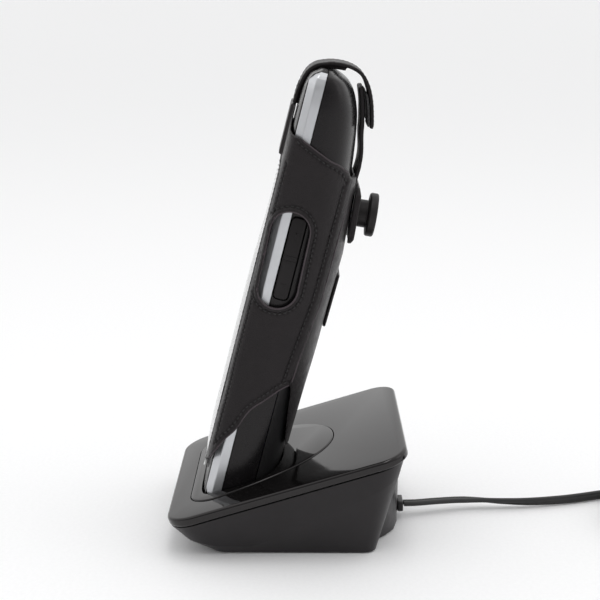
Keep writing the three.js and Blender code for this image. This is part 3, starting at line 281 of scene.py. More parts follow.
leather_black = (0.0064, 0.0052, 0.0058)
materials = {
    "plate": plastic("gloss_plate", (0.005, 0.0046, 0.0046), 0.085, 0.03, gloss=0.44),
    "insert": plastic("gloss_insert", (0.004, 0.0037, 0.0037), 0.045, 0.02, coat=0.08, gloss=0.4),
    "housing": plastic("matt_housing", (0.0115, 0.0105, 0.0115), 0.36, 0.04, grain=0.22, grain_scale=3.6),
    "satin": plastic("satin_black", (0.012, 0.012, 0.0125), 0.36, 0.05, grain=0.16, grain_scale=4),
    "shell": plastic("handset_black", (0.006, 0.0055, 0.006), 0.25, 0.05, grain=0.04, grain_scale=5,
                     gloss=0.3),
    "keycap": plastic("key_black", (0.012, 0.012, 0.013), 0.32, 0.05, grain=0.05),
    "green_key": plastic("key_green", (0.012, 0.022, 0.013), 0.3, 0.05, grain=0.05),
    "red_key": plastic("key_red", (0.026, 0.01, 0.01), 0.3, 0.05, grain=0.05),
    "rocker": plastic("rocker_black", (0.008, 0.0072, 0.0076), 0.4, 0.05, grain=0.12, gloss=0.26),
    "stud": plastic("stud_black", (0.014, 0.013, 0.013), 0.46, 0.05, grain=0.3, grain_scale=2.5, gloss=0.3),
    "leather": leather_material("case_leather", leather_black),
    # Leather eight times lighter for the cut edges: a painted highlight along them, not the leather's own
    # colour
    "edge": leather_material("leather_edge_painted_highlight", tuple(c * 8 for c in leather_black), 0.5, 0.5),
    "strap": leather_material("strap_leather", leather_black, 0.44, 0.3),
    "thread": rubber_material("thread_black", (0.011, 0.0105, 0.011)),
    "tape": fuzz_material("tape_black", (0.02, 0.019, 0.02)),
    "silver": metal("silver_trim", (0.6, 0.61, 0.63), 0.34, 0.04, metallic=0.8),
    "steel": metal("steel", (0.5, 0.5, 0.5), 0.3),
    "gold": metal("gold_contact", (0.78, 0.55, 0.2), 0.24),
    "rubber": rubber_material("lead_rubber", (0.014, 0.014, 0.014)),
    "board": plastic("circuit_green", (0.01, 0.09, 0.03), 0.4, 0.05),
    "cell": plastic("cell_blue", (0.03, 0.06, 0.16), 0.35, 0.05),
    "film": clear_material("clear_film", (0.97, 0.98, 0.98)),
    "lens": clear_material("display_lens", (0.9, 0.92, 0.92), 0.03),
    "screen": plastic("display_grey", (0.11, 0.125, 0.11), 0.25, 0.04),
    "legend": plastic("legend_white", (0.62, 0.63, 0.63), 0.45, 0.05),
}

# The frame's material slot of each material here
slots = {
    **dict.fromkeys(("plate", "insert", "shell"), "gloss_black"),
    **dict.fromkeys(("housing", "satin", "stud"), "satin_black"),
    **dict.fromkeys(("keycap", "rocker"), "key_black"),
    **dict.fromkeys(("leather", "edge", "strap", "thread"), "leather_black"),
    "green_key": "key_green", "red_key": "key_red", "tape": "tape_black", "silver": "silver",
    "rubber": "rubber_black", "film": "clear",
}


# Meshes: a part is a list of points in millimetres and a list of faces

SAME_PLACE = 1e-6
POINT = 1e-4
CUT, JOIN, KEEP = "DIFFERENCE", "UNION", "INTERSECT"


def finish_piece(name, mesh, material, body, place=None, replaces=(), crease=35, slot=None):
    """Puts a mesh on a body of the scene; a place, where given, takes it from millimetres to the world."""
    if place is not None:
        mesh.transform(Matrix.Scale(MM, 4) @ place)
    piece = add_object(name, mesh)
    mesh.materials.clear()
    mesh.materials.append(materials[material])
    mesh.polygons.foreach_set("use_smooth", [True] * len(mesh.polygons))
    mesh.set_sharp_from_angle(angle=radians(crease))
    mesh.update()
    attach(piece, body)
    slot = slot or slots.get(material)
    if replaces:
        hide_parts(*replaces)
    return piece


def build(name, part, material, body, place=floor_frame, replaces=(), crease=35):
    """A piece of the scene from a part in a frame."""
    points, faces = part
    mesh = bpy.data.meshes.new(name)
    mesh.from_pydata([(place @ Vector(p)) * MM for p in points], [], faces)
    mesh.validate()
    return finish_piece(name, mesh, material, body, None, replaces, crease)


def loft(rings):
    """A skin over rings of the same number of points, with flat ends."""
    count = len(rings[0])
    last = (len(rings) - 1) * count
    faces = [(ring + a, ring + (a + 1) % count, ring + (a + 1) % count + count, ring + a + count)
             for ring in range(0, last, count) for a in range(count)]
    faces += [tuple(reversed(range(count))), tuple(range(last, last + count))]
    return [p for ring in rings for p in ring], faces


def moved(part, place):
    points, faces = part
    return [tuple(place @ Vector(p)) for p in points], faces


def joined(parts):
    points, faces = [], []
    for more, skin in parts:
        faces += [tuple(i + len(points) for i in face) for face in skin]
        points += [tuple(p) for p in more]
    return points, faces


def loose_mesh(part, place=floor_frame):
    """A mesh in millimetres for use in a boolean, with its faces turned outwards."""
    points, faces = part
    mesh = bpy.data.meshes.new("tool")
    mesh.from_pydata([place @ Vector(p) for p in points], [], faces)
    turned = bmesh.new()
    turned.from_mesh(mesh)
    bmesh.ops.recalc_face_normals(turned, faces=turned.faces)
    turned.to_mesh(mesh)
    turned.free()
    return mesh


def with_modifiers(mesh, *settings):
    """The mesh after modifiers, each given as its type and its values."""
    holder = add_object("holder", mesh)
    others = []
    for kind, values in settings:
        modifier = holder.modifiers.new(kind, kind)
        for name, value in values.items():
            if isinstance(value, bpy.types.Mesh):
                value = add_object("other", value)
                others.append(value)
            setattr(modifier, name, value)
    made = evaluated(holder)
    for extra in [holder, *others]:
        bpy.data.objects.remove(extra)
    return made


def evaluated(holder):
    bpy.context.view_layer.update()
    graph = bpy.context.evaluated_depsgraph_get()
    return bpy.data.meshes.new_from_object(holder.evaluated_get(graph))


def carve(mesh, *steps, solver="MANIFOLD"):
    """Booleans in turn: each step is an operation and a mesh in millimetres."""
    return with_modifiers(mesh, *[
        ("BOOLEAN", dict(operation=operation, solver=solver, object=tool)) for operation, tool in steps])


def remeshed(mesh, voxel, relax):
    return with_modifiers(mesh, ("REMESH", dict(mode="VOXEL", voxel_size=voxel, use_smooth_shade=True)),
                          ("SMOOTH", dict(factor=0.5, iterations=relax)))


def box_mesh(low, high):
    points = [(x, y, z) for x in (low[0], high[0]) for y in (low[1], high[1]) for z in (low[2], high[2])]
    faces = [(0, 1, 3, 2), (4, 6, 7, 5), (0, 4, 5, 1), (2, 3, 7, 6), (0, 2, 6, 4), (1, 5, 7, 3)]
    return loose_mesh((points, faces))


def rounded_rectangle(width, height, radius, steps=8):
    r = min(radius, width / 2, height / 2)
    x, y = width / 2 - r, height / 2 - r
    outline = []
    for corner, (sx, sy) in enumerate([(1, -1), (1, 1), (-1, 1), (-1, -1)]):
        for step in range(steps + 1):
            angle = TAU / 4 * (corner - 1 + step / steps)
            outline.append((sx * x + r * cos(angle), sy * y + r * sin(angle)))
    return outline


def inward_normals(outline):
    normals = []
    for place, point in enumerate(outline):
        along = Vector((0, 0))
        for step in (point - outline[place - 1], outline[(place + 1) % len(outline)] - point):
            if step.length > SAME_PLACE:
                along += step.normalized()
        along.normalize()
        normals.append(Vector((-along.y, along.x)))
    return normals


def slab(outline, low, high, bevel=0.0, steps=3):
    """An upright solid on an outline in XY, with rounded rims."""
    outline = [Vector(p) for p in outline]
    inwards = inward_normals(outline)
    profile = [(0, low), (0, high)]
    if bevel:
        turns = np.linspace(0, TAU / 4, steps + 1)
        arc = [(bevel * (1 - sin(t)), bevel * (1 - cos(t))) for t in turns]
        profile = [(inset, low + rise) for inset, rise in arc]
        profile += [(inset, high - rise) for inset, rise in reversed(arc)]
    return loft([[(*(p + n * inset), z) for p, n in zip(outline, inwards)] for inset, z in profile])


def prism_x(outline, low=-REACH, high=REACH):
    """A solid with an outline in YZ that runs along X."""
    return loose_mesh(loft([[(x, y, z) for y, z in outline] for x in (low, high)]))


def prism_y(outline, low, high):
    """A solid with an outline in XZ that runs along Y."""
    return loose_mesh(loft([[(x, y, z) for x, z in outline] for y in (low, high)]))


def rounded_prism(width, height, radius, low, high, x=0, z=0):
    """A rounded rectangle in XZ round a middle, that runs along Y."""
    return prism_y([(px + x, pz + z) for px, pz in rounded_rectangle(width, height, radius)], low, high)


def lathe(profile, segments=64):
    """A turned solid about Z from (radius, height) pairs."""
    turns = [(cos(TAU * s / segments), sin(TAU * s / segments)) for s in range(segments)]
    return loft([[(radius * c, radius * s, height) for c, s in turns]
                 for radius, height in ((max(r, POINT), h) for r, h in profile)])


def through(points, steps):
    """A smooth curve through points, as evenly parted Catmull-Rom pieces."""
    points = [np.array(p, float) for p in points]
    ends = [2 * points[0] - points[1], *points, 2 * points[-1] - points[-2]]
    line = []
    for a, b, c, d in zip(ends, ends[1:], ends[2:], ends[3:]):
        for step in range(steps):
            t = step / steps
            line.append(0.5 * (2 * b + (c - a) * t + (2 * a - 5 * b + 4 * c - d) * t ** 2
                               + (3 * b - a - 3 * c + d) * t ** 3))
    line.append(points[-1])
    return line


def even(line, pitch):
    """The same line with points an even distance apart."""
    line = np.array(line, float)
    run = np.concatenate([[0], np.cumsum(np.linalg.norm(np.diff(line, axis=0), axis=1))])
    count = max(2, int(round(run[-1] / pitch)) + 1)
    at = np.linspace(0, run[-1], count)
    return np.stack([np.interp(at, run, line[:, axis]) for axis in range(line.shape[1])], axis=1)


# The lead: one flat twin lead from its plug, along the floor, through the tied coil to the adapter

lead_route = [
    (0, 39.6, 4.8), (-0.6, 44, 4.7), (-2.6, 50.5, 4.4), (-5, 58.5, 3.9), (-6.4, 66.5, 3.3), (-7, 75, 2.6),
    (-8, 85, 2.1), (-10.6, 98, 1.9), (-14.6, 111, 2), (-18.4, 123, 2.3), (-19.9, 131.2, 2.6),
    (-19.9, 134.3, 2.6),
]
tail_route = [(-19.9, 141.6, 6.4), (-19.9, 147.9, 6.4), (-19.9, 155.4, 10), (-19.9, 164.7, 10)]
COIL_STEPS = 32
ROUTE_STEPS = 8
# The lead leaves the plug on edge and turns flat between these shares of its open route
lead_turn_shares = (0.3, 0.65)
# How far round each of the two conductors the lead's outline runs
CONDUCTOR_TURN = 1.44 * pi


def coil_points():
    """In on the lower layer, up in the half turn where it reverses, and out again on the upper one."""
    outer = coil.middle_radius + coil.turns * coil.radial_pitch / 2
    points = [(coil.x - outer, coil.y - lead.straight, coil.low)]
    for step in range(2 * coil.turns * COIL_STEPS + 1):
        turns = step / COIL_STEPS
        radius = outer - coil.radial_pitch * min(turns, 2 * coil.turns - turns)
        climb = min(1, max(0, (turns - coil.turns) * 2 + 0.5))
        angle = pi - TAU * turns
        points.append((coil.x + radius * cos(angle), coil.y + radius * sin(angle),
                       coil.low + coil.layer_pitch * climb))
    points.append((coil.x - outer, coil.y + lead.straight, coil.low + coil.layer_pitch))
    return points


def twin_section(steps=7):
    """The outline of two conductors side by side, as (thin, broad) pairs round the section."""
    thin = lead.thickness / 2
    broad = lead.width / 2
    right = []
    for step in range(2 * steps + 1):
        angle = -CONDUCTOR_TURN / 2 + CONDUCTOR_TURN * step / (2 * steps)
        right.append((thin * sin(angle), broad - thin + thin * cos(angle)))
    return right + [(-a, -b) for a, b in right]


def make_lead():
    run = through(lead_route, ROUTE_STEPS)
    line = [Vector(p) for p in (*run, *coil_points(), *through(tail_route, ROUTE_STEPS))]
    section = twin_section()
    up = Vector((0, 0, 1))
    rings = []
    for step, point in enumerate(line):
        along = line[min(step + 1, len(line) - 1)] - line[max(step - 1, 0)]
        side = Vector((along.y, -along.x, 0)).normalized()
        angle = float(np.interp(step / len(run), lead_turn_shares, (TAU / 4, 0)))
        thin = side * cos(angle) - up * sin(angle)
        broad = up * cos(angle) + side * sin(angle)
        rings.append([point + thin * a + broad * b for a, b in section])
    piece = build("flat_lead", loft(rings), "rubber", "base", crease=50,
                  replaces=("power_cord", "cord_coil", "adapter_lead"))
    path = [tuple(p * MM) for p in line]
    length = sum((b - a).length for a, b in zip(line, line[1:])) * MM
    return piece, path, length


def make_plug():
    """The small lead plug: a rounded flange outside the socket and a body in it."""
    place = turned_at((0, base.foot_rear + plug.proud, socket.z), TAU / 4)
    flange = rounded_rectangle(plug.flange_width, plug.flange_height, plug.flange_corner, 6)
    body = rounded_rectangle(plug.width, plug.height, plug.corner, 4)
    grip = build("plug_grip", slab(flange, 0, plug.flange_depth, plug.flange_bevel), "satin", "base", place,
                 ("cord_plug",))
    build("plug_body", slab(body, plug.flange_depth - 0.01, plug.flange_depth + plug.depth - 1, plug.bevel),
          "satin", "base", place)
    return grip


def make_cords():
    grip = make_plug()
    piece, path, length = make_lead()


make_cords()


# The charging base

plate_length = base.depth / cos(base.slope) - base.thickness * tan(base.slope)
# Where the leaf's side bends in, as shares of its half width and length
side_ease_shares = (0.885, 0.62, 0.62)
LEAF_STEPS = 28


def bezier(a, b, c, d, steps):
    a, b, c, d = (Vector(p) for p in (a, b, c, d))
    line = []
    for step in range(1, steps + 1):
        t = step / steps
        s = 1 - t
        line.append(a * s ** 3 + b * 3 * s * s * t + c * 3 * s * t * t + d * t ** 3)
    return line


def leaf_outline(grow):
    """The leaf round the handset, in the plate's frame."""
    front = cradle.front / cos(base.slope) - grow
    rear = cradle.rear / cos(base.slope) + grow
    half = cradle.half_width + grow
    r = cradle.nose_corner + grow
    ease_x, ease_y, ease_top = side_ease_shares
    turns = np.linspace(0, TAU / 4, 11)
    right = [Vector((half - r + r * sin(t), front + r - r * cos(t))) for t in turns]
    right += bezier((half, front + r), (half * ease_x, front + (rear - front) * ease_y),
                    (half * ease_top, rear), (0, rear), LEAF_STEPS)
    return right + [Vector((-p.x, p.y)) for p in reversed(right[:-1])]


def make_plate():
    outline = rounded_rectangle(base.width, plate_length, base.corner, 14)
    plate = slab(outline, 0, base.thickness, base.bevel, 5)
    hole = slab(leaf_outline(cradle.gap), -2, base.thickness + 2)
    made = carve(loose_mesh(plate), (CUT, loose_mesh(hole)), solver="EXACT")
    finish_piece("top_plate", made, "plate", "base", plate_frame, ("base_top_plate",))


def make_insert():
    leaf = slab(leaf_outline(0), 0, cradle.thickness + cradle.proud, cradle.bevel, 4)
    keep = slab(leaf_outline(-1), cradle.cup_bottom, cradle.thickness / 2)
    in_plate = plate_frame.inverted() @ handset_frame
    cup = loose_mesh(handset_body(cradle.clearance + cradle.wall), in_plate)
    well = loose_mesh(handset_body(cradle.clearance), in_plate)
    cup = carve(cup, (KEEP, loose_mesh(keep)))
    made = carve(loose_mesh(leaf), (JOIN, cup), (CUT, well))
    finish_piece("leaf_insert", made, "insert", "base", plate_frame, ("cradle_insert",))


# The bowed rear of the base, seen from above
rear_line_shares = [(0.75, 0.13), (0.63, 0.46), (0.46, 0.8), (0.22, 0.98), (0, 1)]
# How far up the side's crease lies, at each whole place round half of the outline
crease_shares = [
    0.5, 0.5, 0.5, 0.5, 0.42, 0.25, 0.16, 0.34, 0.52, 0.64, 0.76, 0.8, 0.84, 0.84, 0.7, 0.55, 0.5, 0.5, 0.5,
]
CHIN_END = 5
FRONT_END, SIDE_START, SIDE_END, REAR_START = 2, 5, 10, 13


def base_point(along, half_width, front, rear, side_rear, corner):
    """A point round half of the base's outline: along counts its front, corners, side and bowed rear."""
    inner = half_width - corner
    if along <= FRONT_END:
        return inner * along / FRONT_END, front
    if along <= SIDE_START:
        angle = TAU / 4 * (along - FRONT_END) / (SIDE_START - FRONT_END)
        return inner + corner * sin(angle), front + corner * (1 - cos(angle))
    if along <= SIDE_END:
        share = (along - SIDE_START) / (SIDE_END - SIDE_START)
        return half_width, front + corner + (side_rear - front - 2 * corner) * share
    if along <= REAR_START:
        angle = TAU / 4 * (along - SIDE_END) / (REAR_START - SIDE_END)
        return inner + corner * cos(angle), side_rear - corner * (1 - sin(angle))
    line = [(1, 0), *rear_line_shares]
    place = along - REAR_START
    across = np.interp(place, range(len(line)), [p[0] for p in line])
    out = np.interp(place, range(len(line)), [p[1] for p in line])
    return inner * across, side_rear + (rear - side_rear) * out


def base_ring(height, **sizes):
    ends = [0, FRONT_END, SIDE_START, SIDE_END, REAR_START, REAR_START + len(rear_line_shares)]
    stops = [0]
    for start, end, steps in zip(ends, ends[1:], (8, 10, 24, 10, 10)):
        stops += list(np.linspace(start, end, steps + 1)[1:])
    half = []
    for along in stops:
        x, y = base_point(along, **sizes)
        half.append((x, y, height(y), along))
    left = [(-x, y, z, along) for x, y, z, along in half[-2:0:-1]]
    return half + left


def plate_under(y):
    return base.plate_height + (y - base.plate_shift) * tan(base.slope)


def housing_rings(inward, lift):
    edge = base.seam_inset + inward
    top = base_ring(lambda y: plate_under(y) - base.seam + lift, half_width=base.width / 2 - edge,
                    front=-base.depth / 2 + edge, rear=base.depth / 2 - edge,
                    side_rear=base.depth / 2 - edge, corner=base.top_corner)
    low = base_ring(lambda y: base.clearance - lift, half_width=base.foot_width / 2 - inward,
                    front=base.foot_front + inward, rear=base.foot_rear - inward,
                    side_rear=base.foot_side_rear - inward, corner=base.foot_corner)
    rings = []
    # The crease is rounded over this share of the height on each side of it
    ease = 0.05
    levels = [0, 0.25, 0.5, 0.75, 1 - ease, 1 - ease / 2, 1, 1 + ease / 2, 1 + ease, 1.25, 1.5, 1.75, 2]
    for level in levels:
        ring = []
        for (*foot, along), (*rim, _) in zip(low, top):
            foot, rim = Vector(foot), Vector(rim)
            share = float(np.interp(along, range(len(crease_shares)), crease_shares))
            swell = 4 * share * (1 - share)
            straight = foot.lerp(rim, share)
            crease = straight.copy()
            crease.x *= 1 + base.belly * swell / (base.width / 2)
            if along < CHIN_END:
                crease.y -= base.chin * swell * min(1, CHIN_END - along)
            point = foot.lerp(crease, level) if level <= 1 else crease.lerp(rim, level - 1)
            ring.append(point.lerp(straight, max(0, 1 - abs(level - 1) / ease) / 4 * ease))
        rings.append(ring)
    return rings


def make_housing():
    outer = loose_mesh(loft(housing_rings(0, 0)))
    inner = loose_mesh(loft(housing_rings(base.wall, base.floor)))
    shell = carve(outer, (CUT, inner), solver="EXACT")
    half_width = socket.width / 2 + socket.gap
    half_height = socket.height / 2 + socket.gap
    port = box_mesh((-half_width, base.foot_rear - socket.depth, socket.z - half_height),
                    (half_width, base.depth, socket.z + half_height))
    made = carve(shell, (CUT, port), solver="EXACT")
    finish_piece("housing_shell", made, "housing", "base", floor_frame, ("base_housing",), crease=24)


# The handset

# Share of the length, then half width, front reach and rear reach as shares of the largest
handset_station_shares = [
    (0, 0.83, 0.78, 0.62), (0.0275, 0.9, 0.955, 0.86), (0.069, 0.928, 1, 0.96), (0.15, 0.96, 1, 1),
    (0.42, 1, 1, 1), (0.653, 1, 1, 1), (0.743, 1, 1, 0.92), (0.832, 1, 1, 0.8), (0.915, 0.996, 1, 0.63),
    (0.956, 0.98, 0.975, 0.45), (0.984, 0.94, 0.88, 0.2), (1, 0.81, 0.64, -0.24),
]
# More rings lie in these end shares of the length, where the body rounds off
TOP_SHARE, TOP_RINGS = 0.05, 14
FOOT_SHARE, FOOT_RINGS = 0.03, 6


def monotone(at, xs, ys):
    """Smooth values between stations that never overshoot them."""
    xs, ys = np.array(xs, float), np.array(ys, float)
    step = np.diff(ys) / np.diff(xs)
    slope = np.zeros(len(xs))
    for i in range(1, len(xs) - 1):
        if step[i - 1] * step[i] > 0:
            slope[i] = 2 * step[i - 1] * step[i] / (step[i - 1] + step[i])
    slope[0], slope[-1] = step[0], step[-1]
    i = np.clip(np.searchsorted(xs, at) - 1, 0, len(xs) - 2)
    h = xs[i + 1] - xs[i]
    t = (at - xs[i]) / h
    return (ys[i] * (1 + 2 * t) * (1 - t) ** 2 + slope[i] * h * t * (1 - t) ** 2
            + ys[i + 1] * t * t * (3 - 2 * t) + slope[i + 1] * h * t * t * (t - 1))


def handset_sizes(share):
    """Half width, front reach and rear reach of the handset at a share of its length."""
    columns = list(zip(*handset_station_shares))
    wide, front, rear = (float(monotone(share, columns[0], column)) for column in columns[1:])
    return handset.half_width * wide, handset.front * front, handset.rear * rear


def slab_ring(half_width, front, rear, form, z, count):
    """A level ring of a body with a flat front and a round rear, which meet at its form's split."""
    split = -front + (front + rear) * form.split_share
    ring = []
    for step in range(count):
        c = cos(TAU * step / count)
        s = sin(TAU * step / count)
        power, reach = (form.front_power, front + split) if s < 0 else (form.rear_power, rear - split)
        ring.append((half_width * copysign(abs(c) ** (2 / power), c),
                     split + reach * copysign(abs(s) ** (2 / power), s), z))
    return ring


def side_reach(y, half_width, front, rear, form, limit=1.0):
    """How far the side of such a body stands out at a depth y."""
    split = -front + (front + rear) * form.split_share
    reach, power = (front + split, form.front_power) if y < split else (rear - split, form.rear_power)
    share = min(limit, abs((y - split) / reach))
    return half_width * (1 - share ** power) ** (1 / power)


def handset_body(grow, sides=128, rings=90):
    shares = sorted({*np.linspace(0, 1, rings),
                     *(1 - TOP_SHARE * (s / TOP_RINGS) ** 2 for s in range(TOP_RINGS)),
                     *(FOOT_SHARE * (s / FOOT_RINGS) ** 2 for s in range(FOOT_RINGS))})
    made = []
    for share in shares:
        half_width, front, rear = handset_sizes(share)
        half = max((front + rear) / 2 + grow, 0.8)
        shift = (front - rear) / 2
        made.append(slab_ring(half_width + grow, half + shift, half - shift, handset,
                              handset.length * share + grow * (2 * share - 1), sides))
    return loft(made)


def handset_shell():
    return carve(loose_mesh(handset_body(0)), (CUT, loose_mesh(handset_body(-handset.wall))))


def make_trims():
    """Each trim is a folded strip: two flat faces that meet along its length."""
    for side, name in ((1, "right"), (-1, "left")):
        rings = []
        for z in np.linspace(trim.bottom, trim.top, 150):
            half_width, front, rear = handset_sizes(z / handset.length)
            low = max(trim.low, -trim.front_share * front)
            high = max(trim.high, low + trim.least_width)
            fold = low + (high - low) * (trim.fold - trim.low) / (trim.high - trim.low)
            corners = []
            # The depth of each corner across the strip, and how far it stands out
            for y, out in ((low, -0.05), (low + 0.12, 0.02), (fold - 0.15, 0.2), (fold + 0.15, 0.24),
                           (high - 0.12, 0.06), (high, -0.08)):
                corners.append((side_reach(y, half_width, front, rear, handset) + out, y))
            inner = [(x - trim.thickness, y + (0.25 if y < fold else -0.02)) for x, y in reversed(corners)]
            ring = [(side * x, y, z) for x, y in corners + inner]
            rings.append(ring if side > 0 else ring[::-1])
        build(f"folded_trim_{name}", loft(rings), "silver", "handset", handset_frame, (f"side_trim_{name}",),
              crease=9)


def trim_bands(grow):
    """Cuts for the trims, from their edges down to their inner faces."""
    steps = []
    for side in (1, -1):
        left, right = sorted((side * trim.inner, side * REACH))
        band = box_mesh((left, trim.low - grow, trim.bottom - grow),
                        (right, trim.high + grow, trim.top + grow))
        core = loose_mesh(handset_body(-trim.thickness - grow, 96, 70))
        steps.append((CUT, carve(band, (CUT, core))))
    return steps


def key_places():
    names = [("star", "0", "hash"), ("7", "8", "9"), ("4", "5", "6"), ("1", "2", "3")]
    places = []
    for row, line in enumerate(names):
        for column, name in enumerate(line):
            places.append((f"key_{name}", (column - 1) * key.pitch_x, key.bottom_z + row * key.pitch_z,
                           key.width, key.height, "keycap"))
    places.append(("call_key", -key.side_x, key.nav_z, key.side_width, key.side_height, "green_key"))
    places.append(("end_key", key.side_x, key.nav_z, key.side_width, key.side_height, "red_key"))
    places.append(("navigation_key", 0, key.nav_z, key.nav_width, key.nav_height, "keycap"))
    return places


def front_hole(width, height, corner, x, z):
    return CUT, rounded_prism(width, height, corner, -20, handset.split, x, z)


def make_front_shell():
    front = box_mesh((-REACH, -REACH, -5), (REACH, handset.split - handset.gap / 2, handset.length + 5))
    holes = [front_hole(width + 2 * key.gap, height + 2 * key.gap, key.corner, x, z)
             for _, x, z, width, height, _ in key_places()]
    holes += [front_hole(lens.width + 2 * lens.gap, lens.height + 2 * lens.gap, lens.corner, 0, lens.z),
              front_hole(*earpiece_slot), front_hole(*microphone_hole)]
    made = carve(handset_shell(), (KEEP, front), *trim_bands(handset.gap), *holes)
    finish_piece("bezel_shell", made, "shell", "handset", handset_frame, ("front_shell",), crease=28)


def cover_box(grow):
    return box_mesh((-REACH, cover.split - grow, cover.bottom - grow), (REACH, REACH, cover.top + grow))


def make_rear_shell():
    rear = box_mesh((-REACH, handset.split + handset.gap / 2, -5), (REACH, REACH, handset.length + 5))
    slot = [(y + rocker.y, z + rocker.z) for y, z in rounded_rectangle(
        rocker.width + 2 * rocker.gap, rocker.length + 2 * rocker.gap, rocker.corner + rocker.gap, 6)]
    pads = [box_mesh((x - pad_pocket.half_width, pad_pocket.front, pad_pocket.bottom),
                     (x + pad_pocket.half_width, pad_pocket.rear, pad_pocket.top))
            for x in (pad_pocket.x, -pad_pocket.x)]
    made = carve(handset_shell(), (KEEP, rear), (CUT, cover_box(handset.gap)), (CUT, prism_x(slot, 15)),
                 *[(CUT, pad) for pad in pads])
    finish_piece("back_shell", made, "shell", "handset", handset_frame, ("rear_shell",), 28, "satin_black")
    lid = carve(handset_shell(), (KEEP, cover_box(0)))
    finish_piece("back_cover", lid, "satin", "handset", handset_frame, ("battery_cover",), 28)


def make_rocker():
    """The volume key: a soft bar with a raised bridge at its middle and a mark on each half."""
    up_to_side = Matrix(((0, 0, 1, 0), (1, 0, 0, 0), (0, 1, 0, 0), (0, 0, 0, 1)))
    place = handset_frame @ Matrix.Translation((0, rocker.y, rocker.z)) @ up_to_side
    bar = rounded_rectangle(rocker.width, rocker.length, rocker.corner)
    build("volume_bar", slab(bar, rocker.inner, rocker.face, 0.45, 4), "rocker", "volume_key", place,
          ("volume_rocker",))
    # Place along the bar, outline, height and bevel: the bridge's two edges, a minus and a plus
    marks = [(y, rounded_rectangle(rocker.width - 0.5, 0.5, 0.25, 5), 0.12, 0.12) for y in (-0.75, 0.75)]
    marks += [(y, rounded_rectangle(width, height, 0.2, 4), 0.06, 0.05)
              for y, width, height in ((-8.2, 1.7, 0.45), (8.2, 1.7, 0.45), (8.2, 0.45, 1.7))]
    parts = [moved(slab(outline, rocker.face - 0.3, rocker.face + proud, bevel),
                   Matrix.Translation((0, y, 0))) for y, outline, proud, bevel in marks]
    build("volume_marks", joined(parts), "rocker", "volume_key", place)


def make_keys():
    """Each cap is a soft dome with its generic number on it."""
    legends = {"key_star": "*", "key_hash": "#", "call_key": None, "end_key": None, "navigation_key": None}
    for name, x, z, width, height, material in key_places():
        cap = slab(rounded_rectangle(width, height, key.corner), key.inner, -key.face, key.bevel, 4)
        place = handset_frame @ turned_at((x, 0, z), TAU / 4)
        build(f"{name}_dome", cap, material, f"{name}_cap", place, (name,))
        text = legends.get(name, name[-1])
        if text:
            make_legend(name, text, x, z)
    make_marks()


def make_legend(name, text, x, z):
    curve = bpy.data.curves.new(f"{name}_legend", "FONT")
    curve.body = text
    curve.size = legend.height
    curve.align_x = "CENTER"
    curve.align_y = "CENTER"
    curve.extrude = legend.thickness
    curve.resolution_u = 4
    holder = add_object("text", curve)
    made = evaluated(holder)
    bpy.data.objects.remove(holder)
    drop = legend.star_drop if text == "*" else 0
    place = handset_frame @ turned_at((x, key.face - legend.sunk, z - drop), TAU / 4)
    finish_piece(f"{name}_legend", made, "legend", f"{name}_cap", place)


def make_marks():
    """Call and end bars on their keys and four arrow heads on the navigation key."""
    bar = slab(rounded_rectangle(4.2, 1, 0.5, 5), 0, 0.05)
    for name, side in (("call_key", -1), ("end_key", 1)):
        place = (handset_frame @ turned_at((side * key.side_x, key.face + 0.02, key.nav_z), TAU / 4)
                 @ Matrix.Rotation(side * radians(-35), 4, "Z"))
        build(f"{name}_bar", bar, "legend", f"{name}_cap", place)
    arrow = slab([(-0.9, 0), (0.9, 0), (0, 1.1)], 0, 0.05)
    arrows = [moved(arrow, Matrix.Rotation(turn * TAU / 4, 4, "Z") @ Matrix.Translation((0, reach, 0)))
              for turn, reach in enumerate((4.3, 5, 4.3, 5))]
    place = handset_frame @ turned_at((0, key.face + 0.02, key.nav_z), TAU / 4)
    build("navigation_arrows", joined(arrows), "legend", "navigation_key_cap", place)


# The leather case

# The side's outline in YZ: its low edge, its back and its top edge
side_outline_shares = [
    [(-1.02, 0), (-0.93, 0.026), (-0.83, 0.059), (-0.67, 0.1), (-0.45, 0.14), (-0.25, 0.198), (0.04, 0.236),
     (0.31, 0.272), (0.5, 0.288)],
    [(0.5, 0.288), (0.57, 0.262), (0.66, 0.194), (0.83, 0.098), (1.06, 0.0886)],
    [(1.06, 0.862), (0.6, 0.86), (0.49, 0.876), (0.23, 0.891), (-0.02, 0.899), (-0.53, 0.921),
     (-0.79, 0.934), (-0.92, 0.953), (-1.02, 0.974), (-1.1, 1)],
]
# Half of the cut beside the strap's root, seen from the front
strap_shoulder_shares = [
    (1.2, 0.93), (0.98, 0.933), (0.85, 0.938), (0.62, 0.952), (0.44, 0.976), (0.373, 1.02), (1.2, 1.02),
]
# Depth and height along the edge of the side panels at the back
seam_line = [(6.6, 30), (7.2, 36), (7.5, 43), (9.1, 61), (9.1, 72.5), (8.9, 90.6), (8.65, 100.5), (8.6, 104)]
SEAM_LOW, SEAM_HIGH = 34.5, 101
# How far round to the front and to the back the sides' seams run, as shares of the sleeve's reach
side_limit_shares = (0.93, 0.74)
SLEEVE_SIDES = 144
SMALL = 0.05
# How far the window's ring and the side panels' fold stand out and how wide they are, how deep they
# reach into the leather, and how far the back panel lies under them
relief = Sizes(ring=0.45, ring_width=1.1, fold=0.5, fold_width=1.6, depth=0.3, recess=0.6)
sleeve_height = sleeve.top - sleeve.bottom


def sleeve_rear(z):
    share = min(1.3, max(0, (z - sleeve.slope_start) / (sleeve.back_top - sleeve.slope_start)))
    return sleeve.rear + (sleeve.back_top_rear - sleeve.rear) * share


def sleeve_front(z):
    share = (z - sleeve.bottom) / (sleeve.back_top - sleeve.bottom)
    return sleeve.front + (sleeve.front_top - sleeve.front) * share


